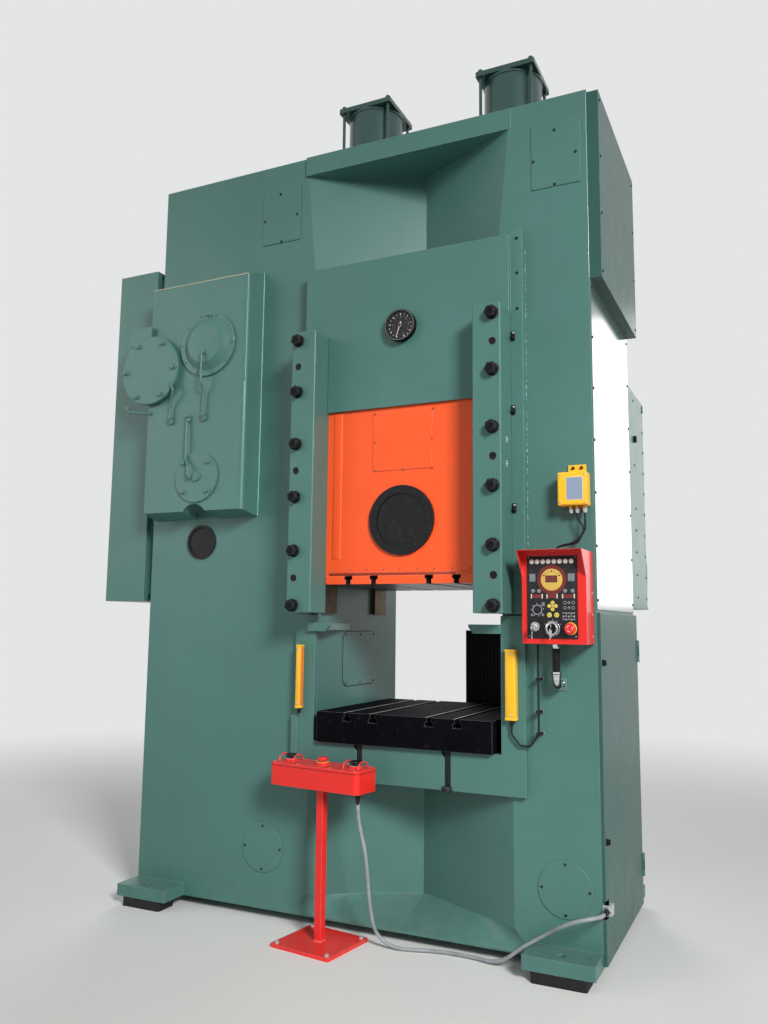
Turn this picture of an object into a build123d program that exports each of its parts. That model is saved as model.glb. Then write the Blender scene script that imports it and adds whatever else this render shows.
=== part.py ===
from build123d import *
import math
import os

os.makedirs("parts", exist_ok=True)

# A knuckle-joint press. X runs right, Y into the press from its front, Z up from the floor.
# The origin is the centre of the four anchor holes, at floor level. Millimetres.

# Frame
frame_width = 2620
frame_depth = 1000
frame_top = 4218
plate = 40
pad_height = 50
pad_length = 250
pad_width = 130
foot_width = 325
foot_reach = 168
foot_thickness = 62
anchor_hole_radius = 20

# Ram well, bed and table
ram_centre = 345
well_width = 1024
well_top = 3400
column_wall_top = 2800
load_plate_bottom = 3420
load_plate_thickness = 60
rear_window_top = 1900
bolster_top = 1095
bolster_height = 155
bolster_width = 952
bolster_depth = 900
bolster_reach = 60
slot_neck = 28
slot_head = 46
slot_head_height = 20
slot_depth = 44
slot_inner_pitch = 306
slot_outer_pitch = 600
ejector_radius = 22

# Pockets bent into the front of the crown and the bed
pocket_depth = 300
crown_pocket_left = 630
crown_pocket_right = 562
crown_pocket_top = 4105
crown_pocket_floor = 3462
crown_pocket_narrowing = 60
crown_header_proud = 15
bed_pocket_half = 560
bed_pocket_floor = 160
bed_pocket_lip = 62
bed_plate = 80

# Apron in front of the bed
apron_width = 1262
apron_bottom = 752
apron_top = 1592
apron_thickness = 30
apron_slot_width = 32
apron_slot_offset = 240

# Ram
stroke = 120
ram_width = 980
ram_bottom = 1750
ram_top = 2700
ram_face_top = 2865
ram_face_thickness = 60
ram_face_proud = 60
ram_depth = 860
ram_pocket_width = 380
ram_pocket_depth = 300
ram_bead_inset = 33
ram_bead_width = 47
ram_bead_foot = 134
ram_bead_head = 916
ram_band_height = 42
ram_cover_width = 335
ram_cover_height = 310
ram_cover_middle = 2492
ram_cover_thickness = 4
ram_port_radius = 180
ram_port_height = 2075
ram_port_thickness = 14
sliding_gap = 0.3

# Gib bars and their bolts
gib_gap = 875
gib_width = 143
gib_depth = 160
gib_bottom = 1602
gib_height = 1490
gib_bolt_count = 6
gib_bolt_first = 36
gib_bolt_last = 49
gib_bolt_across = 46
gib_bolt_head = 26
gib_bolt_inset = 41
gib_hole_radius = 12
left_ledge = (-202, -72)
right_ledge = (864, 701)
ledge_bottom = 1506
ledge_top = 1550
liner_length = 150

# Cover above the ram, and its gauge
top_cover_width = 1162
top_cover_bottom = 2672
top_cover_top = 3494
top_cover_thickness = 12
top_cover_proud = 66
gauge_radius = 92
gauge_depth = 34
gauge_height = 3094
pointer_length = 62
pointer_rest_turn = 160
strip_width = 62

# Side covers, door and cabinet
cover_box_proud = 60
cover_box_bottom = 3228
side_panel_gap = 12
side_panel_thickness = 4
door_bottom = 60
door_height = 1550
door_thickness = 18
door_wall = 3
door_notch_height = 80
gland_height = 296
hinge_radius = 8
hinge_knuckle = 60
hinge_from_end = 200
latch_radius = 15
latch_shaft_radius = 11
latch_from_top = 230
latch_from_bottom = 524
cabinet_side_margin = 90
cabinet_end_margin = 110
mounting_plate_thickness = 3

# Knuckle linkage
link_length = 380
upper_pin_height = 3230
linkage_depth = 430
link_eye_radius = 100
wrist_eye_radius = 92
link_pin_radius = 50
rod_thickness = 70
cheek_thickness = 44
side_gap = 0.5
pin_clearance = 0.05
rod_big_end_radius = 112
rod_shank = 90
crank_pin_radius = 60

# Drive
pinion_x = -1236
pinion_z = 3016
gear_module = 10
gear_teeth = 66
pinion_teeth = 16
gear_face = 80
gear_depth = 70
gear_angle = 16.4
backlash = 0.6
crankshaft_radius = 70
pinion_shaft_radius = 45
crank_disc_radius = 190
crank_disc_thickness = 44
bearing_wall_depth = 210
bearing_wall_thickness = 60
flywheel_radius = 392
flywheel_width = 240
flywheel_depth = 500
flywheel_rim = 70
belt_width = 80
belt_thickness = 9
belt_gap = 0.3
motor_x = -1010
motor_z = 2075
motor_radius = 150
motor_length = 380
motor_shaft_radius = 24
pulley_radius = 105
shelf_thickness = 25

# Gearbox housing on the front of the left column
gearbox_left = -1262
gearbox_right = -580
gearbox_bottom = 2168
gearbox_top = 3518
gearbox_depth = 150
gearbox_draft = 28
gearbox_top_draft = 62
gearbox_side_draft = 10
gearbox_corner = 30
gearbox_arc_radius = 88
gearbox_arc_x = -905
shaft_cover_radius = 206
shaft_cover_thickness = 22
shaft_drum_rise = 14
crank_cover_radius = 188
crank_cover_thickness = 14
crank_drum_radius = 140
crank_drum_height = 78
pump_cover_x = -888
pump_cover_z = 2362
pump_cover_radius = 145
pump_cover_thickness = 12
pipe_radius = 7
pipe_stand_off = 20
pipe_union_height = 529

# Guard over the flywheel
guard_left = -1665
guard_right = -1372
guard_front_gap = 10
guard_length = 800
guard_bottom = 1668
guard_top = 3724
guard_wall = 5
guard_neck_inset = 42

# Guard on the rear right corner
rear_guard_bottom = 1650
rear_guard_top = 2950
rear_guard_depth = 520
rear_guard_width = 190
rear_guard_wall = 5

# Balance cylinders on the crown
balance_offset = 443
balance_depth = 490
balance_tube_radius = 166
balance_tube_wall = 12
balance_height = 455
balance_cap = 345
balance_cap_thickness = 28
tie_rod_radius = 9
tie_rod_offset = 148
balance_rod_radius = 20
balance_piston_thickness = 60
balance_piston_gap = 55

# Covers and plug on the columns and the crown
rear_cover_width = 1240
rear_cover_height = 1000
rear_cover_from_top = 268
access_width = 252
access_height = 352
access_thickness = 5
access_x = (-462, 1154)
access_z = 3914
round_cover_radius = 126
round_cover_x = (-480, 1146)
round_cover_z = 362
plug_x = -951
plug_z = 2006
plug_radius = 98

# Control box, amplifier and light curtains
box_left = 1000
box_width = 298
box_bottom = 1465
box_height = 425
box_depth = 150
box_hood = 95
box_hood_height = 120
box_wall = 3
panel_margin = 28
panel_thickness = 4
knob_radius = 30
stop_radius = 26
stop_stem_radius = 13
key_radius = 15
amplifier_x = 1157
amplifier_z = 2107
amplifier_width = 137
amplifier_height = 157
amplifier_depth = 82
amplifier_glands = (54, 84, 119)
amplifier_gland_depth = 46
curtain_height = 330
curtain_widths = (26, 50)
curtain_depth = 36
curtain_bottom = 1104
curtain_gap = 32
cable_duct_width = 35
sensor_cable_radius = 5
conduit_fitting_radius = 22

# Pendant stand and its conduit
stand_x = -24
stand_front = 356
stand_turn = -8
stand_plate = 350
stand_plate_thickness = 16
stand_post = 56
stand_post_wall = 4
console_length = 545
console_depth = 178
console_height = 110
console_bottom = 740
console_wall = 3
console_corner = 30
palm_radius = 27
palm_stem_radius = 9
palm_travel = 8
palm_spacing = 400
conduit_offset = 216
conduit_radius = 9

# Places worked out from the sizes above
front = -frame_depth / 2
back = frame_depth / 2
left = -frame_width / 2
right = frame_width / 2
bed_top = bolster_top - bolster_height
well_left = ram_centre - well_width / 2
well_right = ram_centre + well_width / 2
inner_front = front + plate
inner_back = back - plate
gib_back = front - ram_face_proud
link_y = front + linkage_depth
load_plate_top = load_plate_bottom + load_plate_thickness
gib_bolt_pitch = (gib_height - gib_bolt_first - gib_bolt_last) / (gib_bolt_count - 1)
door_top = door_bottom + door_height
side_panel_bottom = door_top + side_panel_gap
cabinet_bottom = door_bottom + cabinet_end_margin
cabinet_top = door_top - cabinet_end_margin + 20
latch_upper = door_top - latch_from_top
latch_lower = door_bottom + latch_from_bottom
hinge_heights = (door_bottom + hinge_from_end, door_top - hinge_from_end)
balance_piston_height = frame_top + balance_height - balance_piston_gap - balance_piston_thickness
anchor_x = frame_width / 2 - foot_width / 2
anchor_y = frame_depth / 2 + foot_reach * 0.6

# Linkage: the ram is drawn at the top of its stroke, where the two links are bent
link_angle = math.acos((2 * link_length - stroke) / (2 * link_length))
wrist_height = upper_pin_height - 2 * link_length * math.cos(link_angle)
knuckle_x = ram_centre - link_length * math.sin(link_angle)
knuckle_z = upper_pin_height - link_length * math.cos(link_angle)
gear_centres = gear_module * (gear_teeth + pinion_teeth) / 2
crank_x = pinion_x + gear_centres * math.cos(math.radians(gear_angle))
crank_z = pinion_z + gear_centres * math.sin(math.radians(gear_angle))
reach_top = math.hypot(knuckle_x - crank_x, knuckle_z - crank_z)
reach_bottom = math.hypot(ram_centre - crank_x, upper_pin_height - link_length - crank_z)
crank_radius = (reach_bottom - reach_top) / 2
rod_length = (reach_bottom + reach_top) / 2
crank_pin_x = knuckle_x + (crank_x - knuckle_x) * rod_length / reach_top
crank_pin_z = knuckle_z + (crank_z - knuckle_z) * rod_length / reach_top
rod_front = link_y - rod_thickness / 2
rod_back = link_y + rod_thickness / 2
crank_disc_front = rod_front - side_gap - crank_disc_thickness
flywheel_front = front + flywheel_depth
belt_front = flywheel_front + flywheel_width - belt_width - 15
hinge_x = right + door_thickness + 2
hinge_y = back + hinge_radius
gland_x = right + 21
gland_face = front - 20


def facing(y):
    """A plane seen from the front at depth y: sketches on it use X and Z, and grow towards the front."""
    return Plane(origin=(0, y, 0), x_dir=(1, 0, 0), z_dir=(0, -1, 0))


def side_on(x):
    """A plane seen from the right at x: sketches on it use Y and Z, and grow to the right."""
    return Plane(origin=(x, 0, 0), x_dir=(0, 1, 0), z_dir=(1, 0, 0))


def span(a0, a1, b0, b1, mode=Mode.ADD):
    """A rectangle between two corners, in the sketch being drawn."""
    with Locations(((a0 + a1) / 2, (b0 + b1) / 2)):
        Rectangle(a1 - a0, b1 - b0, mode=mode)


def block(x, y, z, mode=Mode.ADD):
    """A rectangular block given by its spans along X, Y and Z, in the part being built."""
    with BuildSketch(Plane.XY.offset(z[0])) as plan:
        span(x[0], x[1], y[0], y[1])
    extrude(plan.sketch, amount=z[1] - z[0], mode=mode)


def disc(x, z, radius, y0, y1, mode=Mode.ADD):
    """A round bar or bore along Y, from depth y0 to y1."""
    with BuildSketch(facing(y1)) as section:
        with Locations((x, z)):
            Circle(radius)
    extrude(section.sketch, amount=y1 - y0, mode=mode)


def pocket_outline(half_left, half_right, depth):
    """The plan of a bent-in pocket: a triangle with its point behind the ram centre."""
    with BuildLine() as outline:
        Polyline(
            (ram_centre - half_left, front),
            (ram_centre - 20, front + depth),
            (ram_centre + half_right, front),
            close=True,
        )
    make_face(outline.edges())


def finish(part, name):
    """Label a finished sub-part and write its STEP file."""
    part.label = name
    export_step(part, "parts/" + name + ".step")


# Welded frame: two columns, crown and bed round the ram well
with BuildPart() as frame:
    with BuildSketch(facing(back)):
        span(left, right, pad_height, frame_top)
        span(well_left, well_right, bed_top, rear_window_top, mode=Mode.SUBTRACT)
    extrude(amount=frame_depth)
    block((well_left, well_right), (front, inner_back), (rear_window_top, well_top), Mode.SUBTRACT)
    block(
        (left + plate, well_left - plate),
        (inner_front, inner_back),
        (pad_height + plate, frame_top - plate),
        Mode.SUBTRACT,
    )
    block(
        (well_right + plate, right - plate),
        (inner_front, inner_back),
        (pad_height + plate, frame_top - plate),
        Mode.SUBTRACT,
    )
    block(
        (well_left - plate, well_right + plate),
        (inner_front, inner_back),
        (column_wall_top, load_plate_bottom),
        Mode.SUBTRACT,
    )
    block(
        (well_left - plate, well_right + plate),
        (inner_front, inner_back),
        (load_plate_top, frame_top - plate),
        Mode.SUBTRACT,
    )
    block(
        (well_left, well_right),
        (inner_front, inner_back),
        (pad_height + plate, bed_top - bed_plate),
        Mode.SUBTRACT,
    )
    # bent pocket in the crown, narrower at its foot
    with BuildSketch(Plane.XY.offset(load_plate_top)):
        pocket_outline(crown_pocket_left + plate, crown_pocket_right + plate, pocket_depth + plate)
    extrude(amount=frame_top - load_plate_top)
    with BuildSketch(Plane.XY.offset(crown_pocket_floor)):
        pocket_outline(
            crown_pocket_left - crown_pocket_narrowing,
            crown_pocket_right - crown_pocket_narrowing,
            pocket_depth,
        )
    with BuildSketch(Plane.XY.offset(crown_pocket_top)):
        pocket_outline(crown_pocket_left, crown_pocket_right, pocket_depth)
    loft(mode=Mode.SUBTRACT)
    # header bar above the pocket, proud at its left end and nearly flush at its right end
    header_left = ram_centre - crown_pocket_left - 12
    header_right = ram_centre + crown_pocket_right + 12
    with BuildSketch(Plane.XY.offset(crown_pocket_top)):
        with BuildLine():
            Polyline(
                (header_left, front),
                (header_left, front - crown_header_proud),
                (header_right, front - 2),
                (header_right, front),
                close=True,
            )
        make_face()
    extrude(amount=frame_top - crown_pocket_top)
    # bent pocket in the bed, with a lip sloping out to the foot of the front plate
    with BuildSketch(Plane.XY.offset(pad_height)):
        pocket_outline(bed_pocket_half + plate, bed_pocket_half + plate, pocket_depth + plate)
    extrude(amount=bed_top - bed_plate - pad_height)
    with BuildSketch(Plane.XY.offset(bed_pocket_floor)):
        pocket_outline(bed_pocket_half, bed_pocket_half, pocket_depth)
    extrude(amount=bed_top - bed_plate - bed_pocket_floor, mode=Mode.SUBTRACT)
    with BuildSketch(Plane.XY.offset(bed_pocket_floor)):
        pocket_outline(bed_pocket_half, bed_pocket_half, pocket_depth)
    with BuildSketch(Plane.XY.offset(bed_pocket_lip)):
        pocket_outline(bed_pocket_half + 90, bed_pocket_half + 90, 8)
    loft(ruled=True, mode=Mode.SUBTRACT)
    # foot plates with the anchor holes
    for side in (-1, 1):
        foot_edge = side * (frame_width / 2 - foot_width)
        foot_span = (min(foot_edge, side * right), max(foot_edge, side * right))
        for end in (-1, 1):
            foot_end = end * (frame_depth / 2 + foot_reach)
            reach = (min(foot_end, end * back), max(foot_end, end * back))
            block(foot_span, reach, (pad_height, pad_height + foot_thickness))
            with BuildSketch(Plane.XY.offset(pad_height)):
                with Locations((side * anchor_x, end * anchor_y)):
                    Circle(anchor_hole_radius)
            extrude(amount=foot_thickness, mode=Mode.SUBTRACT)
    # lugs that carry the upper pin under the load plate
    lug_gap = cheek_thickness * 2 + side_gap * 3
    for y0, y1 in (
        (rod_front - lug_gap - plate, rod_front - lug_gap),
        (rod_back + lug_gap, rod_back + lug_gap + plate),
    ):
        with BuildSketch(facing(y1)):
            span(ram_centre - 150, ram_centre + 150, upper_pin_height, load_plate_bottom)
            with Locations((ram_centre, upper_pin_height)):
                Circle(120)
        extrude(amount=plate)
        disc(ram_centre, upper_pin_height, link_pin_radius + pin_clearance, y0, y1, Mode.SUBTRACT)
    # wall inside the left column for the shaft bearings, and the motor shelf
    block(
        (left + plate, well_left - plate),
        (front + bearing_wall_depth, front + bearing_wall_depth + bearing_wall_thickness),
        (crank_z - 420, crank_z + 380),
    )
    block(
        (left + plate, well_left - plate),
        (inner_front, inner_back),
        (motor_z - motor_radius - 30 - shelf_thickness, motor_z - motor_radius - 30),
    )
    disc(pinion_x, pinion_z, 70, back - 110, inner_back)
    disc(crank_x, crank_z, crankshaft_radius + pin_clearance, front, link_y, Mode.SUBTRACT)
    disc(pinion_x, pinion_z, pinion_shaft_radius + pin_clearance, front, back - 70, Mode.SUBTRACT)
    # opening towards the flywheel guard
    block(
        (left, left + plate),
        (front + guard_front_gap + guard_neck_inset + 10, front + guard_length - guard_neck_inset),
        (motor_z - 60, guard_top - guard_neck_inset - 150),
        Mode.SUBTRACT,
    )
    # cabinet opening behind the side door
    block(
        (right - plate, right),
        (front + cabinet_side_margin, back - cabinet_side_margin),
        (cabinet_bottom - 20, cabinet_top),
        Mode.SUBTRACT,
    )
    # holes behind the covers and the plug, and for the balance rods
    for x in round_cover_x:
        disc(x, round_cover_z, round_cover_radius - 40, front, inner_front, Mode.SUBTRACT)
    for x in access_x:
        block(
            (x - access_width / 2 + 30, x + access_width / 2 - 30),
            (front, inner_front),
            (access_z - access_height / 2 + 30, access_z + access_height / 2 - 30),
            Mode.SUBTRACT,
        )
    disc(plug_x, plug_z, plug_radius - 8, front, inner_front, Mode.SUBTRACT)
    for side in (-1, 1):
        with BuildSketch(Plane.XY.offset(load_plate_bottom)):
            with Locations((ram_centre + side * balance_offset, front + balance_depth)):
                Circle(balance_rod_radius + 4)
        extrude(amount=frame_top - load_plate_bottom, mode=Mode.SUBTRACT)
    # hinge halves of the side door, above and below the door's own
    for z in hinge_heights:
        for end in (-1, 1):
            low = z + end * (hinge_knuckle * 0.75 + sliding_gap) - hinge_knuckle / 4
            with BuildSketch(Plane.XY.offset(low)):
                with Locations((hinge_x, hinge_y)):
                    Circle(hinge_radius)
                span(right - 20, hinge_x, back, hinge_y)
            extrude(amount=hinge_knuckle / 2)
finish(frame.part, "frame")

# Levelling pads under the four foot plates
with BuildPart() as levelling_pads:
    for side in (-1, 1):
        for end in (-1, 1):
            with BuildSketch():
                with Locations((side * anchor_x, end * anchor_y)):
                    RectangleRounded(pad_length, pad_width, 12)
                    Circle(anchor_hole_radius, mode=Mode.SUBTRACT)
            extrude(amount=pad_height)
finish(levelling_pads.part, "levelling_pads")

# Apron plate round the die space, with two slots open at the bottom
with BuildPart() as front_apron:
    with BuildSketch(facing(front)):
        span(ram_centre - apron_width / 2, ram_centre + apron_width / 2, apron_bottom, apron_top)
        span(well_left, well_right, bed_top, apron_top, mode=Mode.SUBTRACT)
        for side in (-1, 1):
            x = ram_centre + side * apron_slot_offset
            half_slot = apron_slot_width / 2
            span(x - half_slot, x + half_slot, apron_bottom, bed_top, mode=Mode.SUBTRACT)
            with BuildLine():
                Polyline(
                    (x - apron_slot_width / 2 - 22, bed_top),
                    (x + apron_slot_width / 2, bed_top),
                    (x - apron_slot_width / 2, bed_top - 40),
                    close=True,
                )
            make_face(mode=Mode.SUBTRACT)
    extrude(amount=apron_thickness)
    # ledges that close the top corners of the die space, below the gib bars
    for side, outer, inner in ((-1, *left_ledge), (1, *right_ledge)):
        with BuildSketch(facing(front - apron_thickness)):
            with BuildLine():
                Polyline(
                    (outer, ledge_bottom),
                    (inner + side * 24, ledge_bottom),
                    (inner, ledge_bottom + 30),
                    (inner, ledge_top),
                    (outer, ledge_top),
                    close=True,
                )
            make_face()
        extrude(amount=24)
    # flat cable duct below the left light curtain
    block(
        (well_left - 97 - cable_duct_width, well_left - 97),
        (front - apron_thickness - 8, front - apron_thickness),
        (apron_bottom, curtain_bottom - 40),
    )
finish(front_apron.part, "front_apron")

# Bolster plate with four T-slots from front to back and the ejector hole
with BuildPart() as bolster:
    bolster_front = front - bolster_reach
    block(
        (ram_centre - bolster_width / 2, ram_centre + bolster_width / 2),
        (bolster_front, bolster_front + bolster_depth),
        (bed_top, bolster_top),
    )
    with BuildSketch(facing(bolster_front + bolster_depth)):
        for pitch in (slot_inner_pitch, slot_outer_pitch):
            for side in (-1, 1):
                x = ram_centre + side * pitch / 2
                span(x - slot_neck / 2, x + slot_neck / 2, bolster_top - slot_depth, bolster_top)
                span(
                    x - slot_head / 2,
                    x + slot_head / 2,
                    bolster_top - slot_depth,
                    bolster_top - slot_depth + slot_head_height,
                )
    extrude(amount=bolster_depth, mode=Mode.SUBTRACT)
    with BuildSketch(Plane.XY.offset(bed_top)):
        with Locations((ram_centre, link_y)):
            Circle(ejector_radius)
    extrude(amount=bolster_height, mode=Mode.SUBTRACT)
finish(bolster.part, "bolster")


def gib_bar(side):
    """One gib bar: a tall block that holds the ram's corner, with bolt and oil holes."""
    x0 = ram_centre + side * gib_gap / 2
    x1 = x0 + side * gib_width
    with BuildPart() as bar:
        block(
            (min(x0, x1), max(x0, x1)),
            (gib_back - gib_depth, gib_back),
            (gib_bottom, gib_bottom + gib_height),
        )
        chamfer(bar.edges().filter_by(Axis.Z).group_by(Axis.Y)[0], 4)
        pad_x0 = ram_centre + side * well_width / 2
        block((min(pad_x0, x1), max(pad_x0, x1)), (gib_back, front), (gib_bottom, gib_bottom + gib_height))
        gib_front = gib_back - gib_depth
        for step in (0.5, 2.5, 4.5):
            z = gib_bottom + gib_bolt_first + step * gib_bolt_pitch
            x = x1 - side * gib_bolt_inset
            disc(x, z, gib_hole_radius, gib_front, gib_front + 30, Mode.SUBTRACT)
    return bar.part


with BuildPart() as left_gib:
    add(gib_bar(-1))
finish(left_gib.part, "left_gib")

with BuildPart() as right_gib:
    add(gib_bar(1))
finish(right_gib.part, "right_gib")

# Hexagon head bolts with washers down both gib bars
with BuildPart() as gib_bolts:
    gib_front = gib_back - gib_depth
    for side in (-1, 1):
        x = ram_centre + side * (gib_gap / 2 + gib_width - gib_bolt_inset)
        for step in range(gib_bolt_count):
            z = gib_bottom + gib_bolt_first + step * gib_bolt_pitch
            with BuildSketch(facing(gib_front)):
                with Locations((x, z)):
                    Circle(gib_bolt_across * 0.62)
            extrude(amount=5)
            with BuildSketch(facing(gib_front - 5)):
                with Locations((x, z)):
                    RegularPolygon(gib_bolt_across / 2, 6, major_radius=False)
            extrude(amount=gib_bolt_head)
finish(gib_bolts.part, "gib_bolts")

# Bronze liners between the ram and the columns
with BuildPart() as guide_liners:
    liner = (well_width - ram_width) / 2 - sliding_gap
    for side in (-1, 1):
        outer = ram_centre + side * well_width / 2
        inner = outer - side * liner
        for y0 in (front + 20, front - ram_face_proud + ram_depth - liner_length):
            block(
                (min(outer, inner), max(outer, inner)),
                (y0, y0 + liner_length),
                (gib_bottom, column_wall_top),
            )
finish(guide_liners.part, "guide_liners")

# Cover plate above the ram, standing off the crown on its two side strips
with BuildPart() as slide_top_cover:
    cover_left = ram_centre - top_cover_width / 2
    cover_right = ram_centre + top_cover_width / 2
    cover_back = front - top_cover_proud
    gib_top = gib_bottom + gib_height
    with BuildSketch(facing(cover_back)):
        span(cover_left, cover_right, gib_top + 2, top_cover_top)
        span(ram_centre - gib_gap / 2 + 2, ram_centre + gib_gap / 2 - 2, top_cover_bottom, gib_top + 2)
    extrude(amount=top_cover_thickness)
    for x0, x1 in ((cover_left, cover_left + 20), (cover_right - 20, cover_right)):
        block((x0, x1), (cover_back, front), (gib_top + 2, top_cover_top))
    block((cover_left, cover_right), (cover_back, front), (top_cover_top - 20, top_cover_top))
    strip_top = top_cover_top + 30
    block((cover_right, cover_right + strip_width), (front - 50, front), (apron_top + 10, strip_top))
finish(slide_top_cover.part, "slide_top_cover")

# Pressure gauge in the cover: case with a bezel, and its pointer
gauge_face = front - top_cover_proud - top_cover_thickness
with BuildPart() as gauge_case:
    disc(ram_centre, gauge_height, gauge_radius, gauge_face - gauge_depth, gauge_face)
    gauge_rim = gauge_face - gauge_depth
    disc(ram_centre, gauge_height, gauge_radius - 12, gauge_rim, gauge_rim + 16, Mode.SUBTRACT)
    disc(ram_centre, gauge_height, 5, gauge_face - gauge_depth + 8, gauge_face - gauge_depth + 16)
finish(gauge_case.part, "gauge_case")

with BuildPart() as gauge_pointer:
    pointer_back = gauge_face - gauge_depth + 8 - sliding_gap
    with BuildSketch(facing(pointer_back)):
        with Locations(Location((ram_centre, gauge_height), pointer_rest_turn)):
            Circle(9)
            with Locations((0, (pointer_length - 20) / 2)):
                Trapezoid(7, pointer_length + 20, 88)
    extrude(amount=3)
finish(gauge_pointer.part, "gauge_pointer")

# Screwed covers of the crown and of the column feet
with BuildPart() as access_covers:
    for x in access_x:
        with BuildSketch(facing(front)):
            with Locations((x, access_z)):
                RectangleRounded(access_width, access_height, 6)
        extrude(amount=access_thickness)
    for x in round_cover_x:
        disc(x, round_cover_z, round_cover_radius, front - access_thickness, front)
finish(access_covers.part, "access_covers")

# Plate over the drive opening in the back of the crown
with BuildPart() as rear_cover:
    with BuildSketch(facing(back + 8)):
        cover_z = frame_top - rear_cover_from_top
        half = rear_cover_width / 2
        span(ram_centre - half, ram_centre + half, cover_z - rear_cover_height, cover_z)
    extrude(amount=8)
finish(rear_cover.part, "rear_cover")

# Black dished plug in the left column
with BuildPart() as column_plug:
    disc(plug_x, plug_z, plug_radius, front - 10, front)
    disc(plug_x, plug_z, plug_radius - 14, front - 10, front - 4, Mode.SUBTRACT)
finish(column_plug.part, "column_plug")

# Gearbox housing: a drafted casting with a drum for the flywheel shaft
with BuildPart() as gearbox_housing:
    gearbox_front = front - gearbox_depth
    with BuildSketch(facing(front)):
        span(
            gearbox_left - gearbox_draft,
            gearbox_right + gearbox_side_draft,
            gearbox_bottom - gearbox_draft,
            gearbox_top + gearbox_top_draft,
        )
    with BuildSketch(facing(gearbox_front)):
        span(gearbox_left, gearbox_right, gearbox_bottom, gearbox_top)
    loft(ruled=True)
    front_edges = gearbox_housing.edges().group_by(Axis.Y)[0]
    fillet(front_edges.filter_by(Axis.Z).sort_by(Axis.X)[-1], gearbox_corner)
    arc_z = gearbox_bottom - gearbox_draft - 18
    disc(gearbox_arc_x, arc_z, gearbox_arc_radius, gearbox_front - 5, front, Mode.SUBTRACT)
    drum_front = gearbox_front - shaft_drum_rise
    disc(pinion_x, pinion_z, shaft_cover_radius - 12, drum_front, front)
    disc(pinion_x, pinion_z, pinion_shaft_radius + pin_clearance, drum_front, front, Mode.SUBTRACT)
    disc(crank_x, crank_z, crankshaft_radius + pin_clearance, gearbox_front, front, Mode.SUBTRACT)
finish(gearbox_housing.part, "gearbox_housing")

with BuildPart() as flywheel_shaft_cover:
    cover_back = front - gearbox_depth - shaft_drum_rise
    disc(pinion_x, pinion_z, shaft_cover_radius, cover_back - shaft_cover_thickness, cover_back)
    fillet(flywheel_shaft_cover.faces().sort_by(Axis.Y)[0].edges(), 6)
    block((pinion_x - 155, pinion_x - 5), (cover_back - 16, cover_back), (pinion_z + 160, pinion_z + 270))
finish(flywheel_shaft_cover.part, "flywheel_shaft_cover")

with BuildPart() as crankshaft_cover:
    cover_back = front - gearbox_depth
    with BuildSketch(Plane(origin=(crank_x, 0, crank_z), x_dir=(1, 0, 0), z_dir=(0, 0, 1))):
        with BuildLine():
            Polyline(
                (0, cover_back),
                (crank_cover_radius, cover_back),
                (crank_cover_radius, cover_back - crank_cover_thickness),
                (crank_drum_radius + 8, cover_back - crank_cover_thickness),
                (crank_drum_radius - 6, cover_back - crank_drum_height + 22),
                (crank_drum_radius - 34, cover_back - crank_drum_height),
                (0, cover_back - crank_drum_height),
                close=True,
            )
        make_face()
    revolve(axis=Axis((crank_x, 0, crank_z), (0, 1, 0)))
    disc(crank_x, crank_z, crankshaft_radius + 6, cover_back - 12, cover_back, Mode.SUBTRACT)
finish(crankshaft_cover.part, "crankshaft_cover")

with BuildPart() as oil_pump_cover:
    cover_back = front - gearbox_depth
    disc(pump_cover_x, pump_cover_z, pump_cover_radius, cover_back - pump_cover_thickness, cover_back)
    pump_cover_face = cover_back - pump_cover_thickness
    disc(pump_cover_x, pump_cover_z, 26, pump_cover_face - 12, pump_cover_face)
finish(oil_pump_cover.part, "oil_pump_cover")


def pipe_run(points, radius, bend):
    """A bent pipe of round section along straight runs joined by arcs, as a separate part."""
    with BuildPart() as run:
        with BuildLine() as route:
            FilletPolyline(*points, radius=bend)
        with BuildSketch(Plane(origin=route.line @ 0, z_dir=route.line % 0)):
            Circle(radius)
        sweep(path=route.line)
    return run.part


# Lubrication pipes from the covers to unions on the face of the gearbox
with BuildPart() as lubrication_pipes:
    face = front - gearbox_depth
    out = face - pipe_stand_off
    crank_out = face - crank_drum_height - pipe_stand_off
    pump_out = face - pump_cover_thickness - pipe_stand_off
    shaft_out = face - shaft_drum_rise - shaft_cover_thickness
    union_z = gearbox_bottom + pipe_union_height
    shaft_union = pinion_x + 148
    crank_union = crank_x - 13
    pump_union = pump_cover_x - 72
    add(
        pipe_run(
            [
                (shaft_union + 2, shaft_out, pinion_z - 111),
                (shaft_union + 2, shaft_out - pipe_stand_off, pinion_z - 111),
                (shaft_union - 6, out, pinion_z - 206),
                (shaft_union, out, union_z + 40),
                (shaft_union, out, union_z),
                (shaft_union, face, union_z),
            ],
            pipe_radius,
            10,
        )
    )
    add(
        pipe_run(
            [
                (crank_x - 30, face - crank_drum_height, crank_z - 62),
                (crank_x - 30, crank_out, crank_z - 62),
                (crank_x - 25, crank_out, crank_z - 207),
                (crank_union, out, crank_z - 312),
                (crank_union, out, union_z),
                (crank_union, face, union_z),
            ],
            pipe_radius,
            10,
        )
    )
    add(
        pipe_run(
            [
                (pump_cover_x - 50, pump_out + pipe_stand_off, pump_cover_z),
                (pump_cover_x - 50, pump_out, pump_cover_z),
                (pump_union + 14, out, union_z - 40),
                (pump_union, out, union_z),
                (pump_union, face, union_z),
            ],
            pipe_radius,
            10,
        )
    )
    for x in (shaft_union, pump_union, crank_union):
        disc(x, union_z, 17, face - 14, face)
finish(lubrication_pipes.part, "lubrication_pipes")

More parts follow.
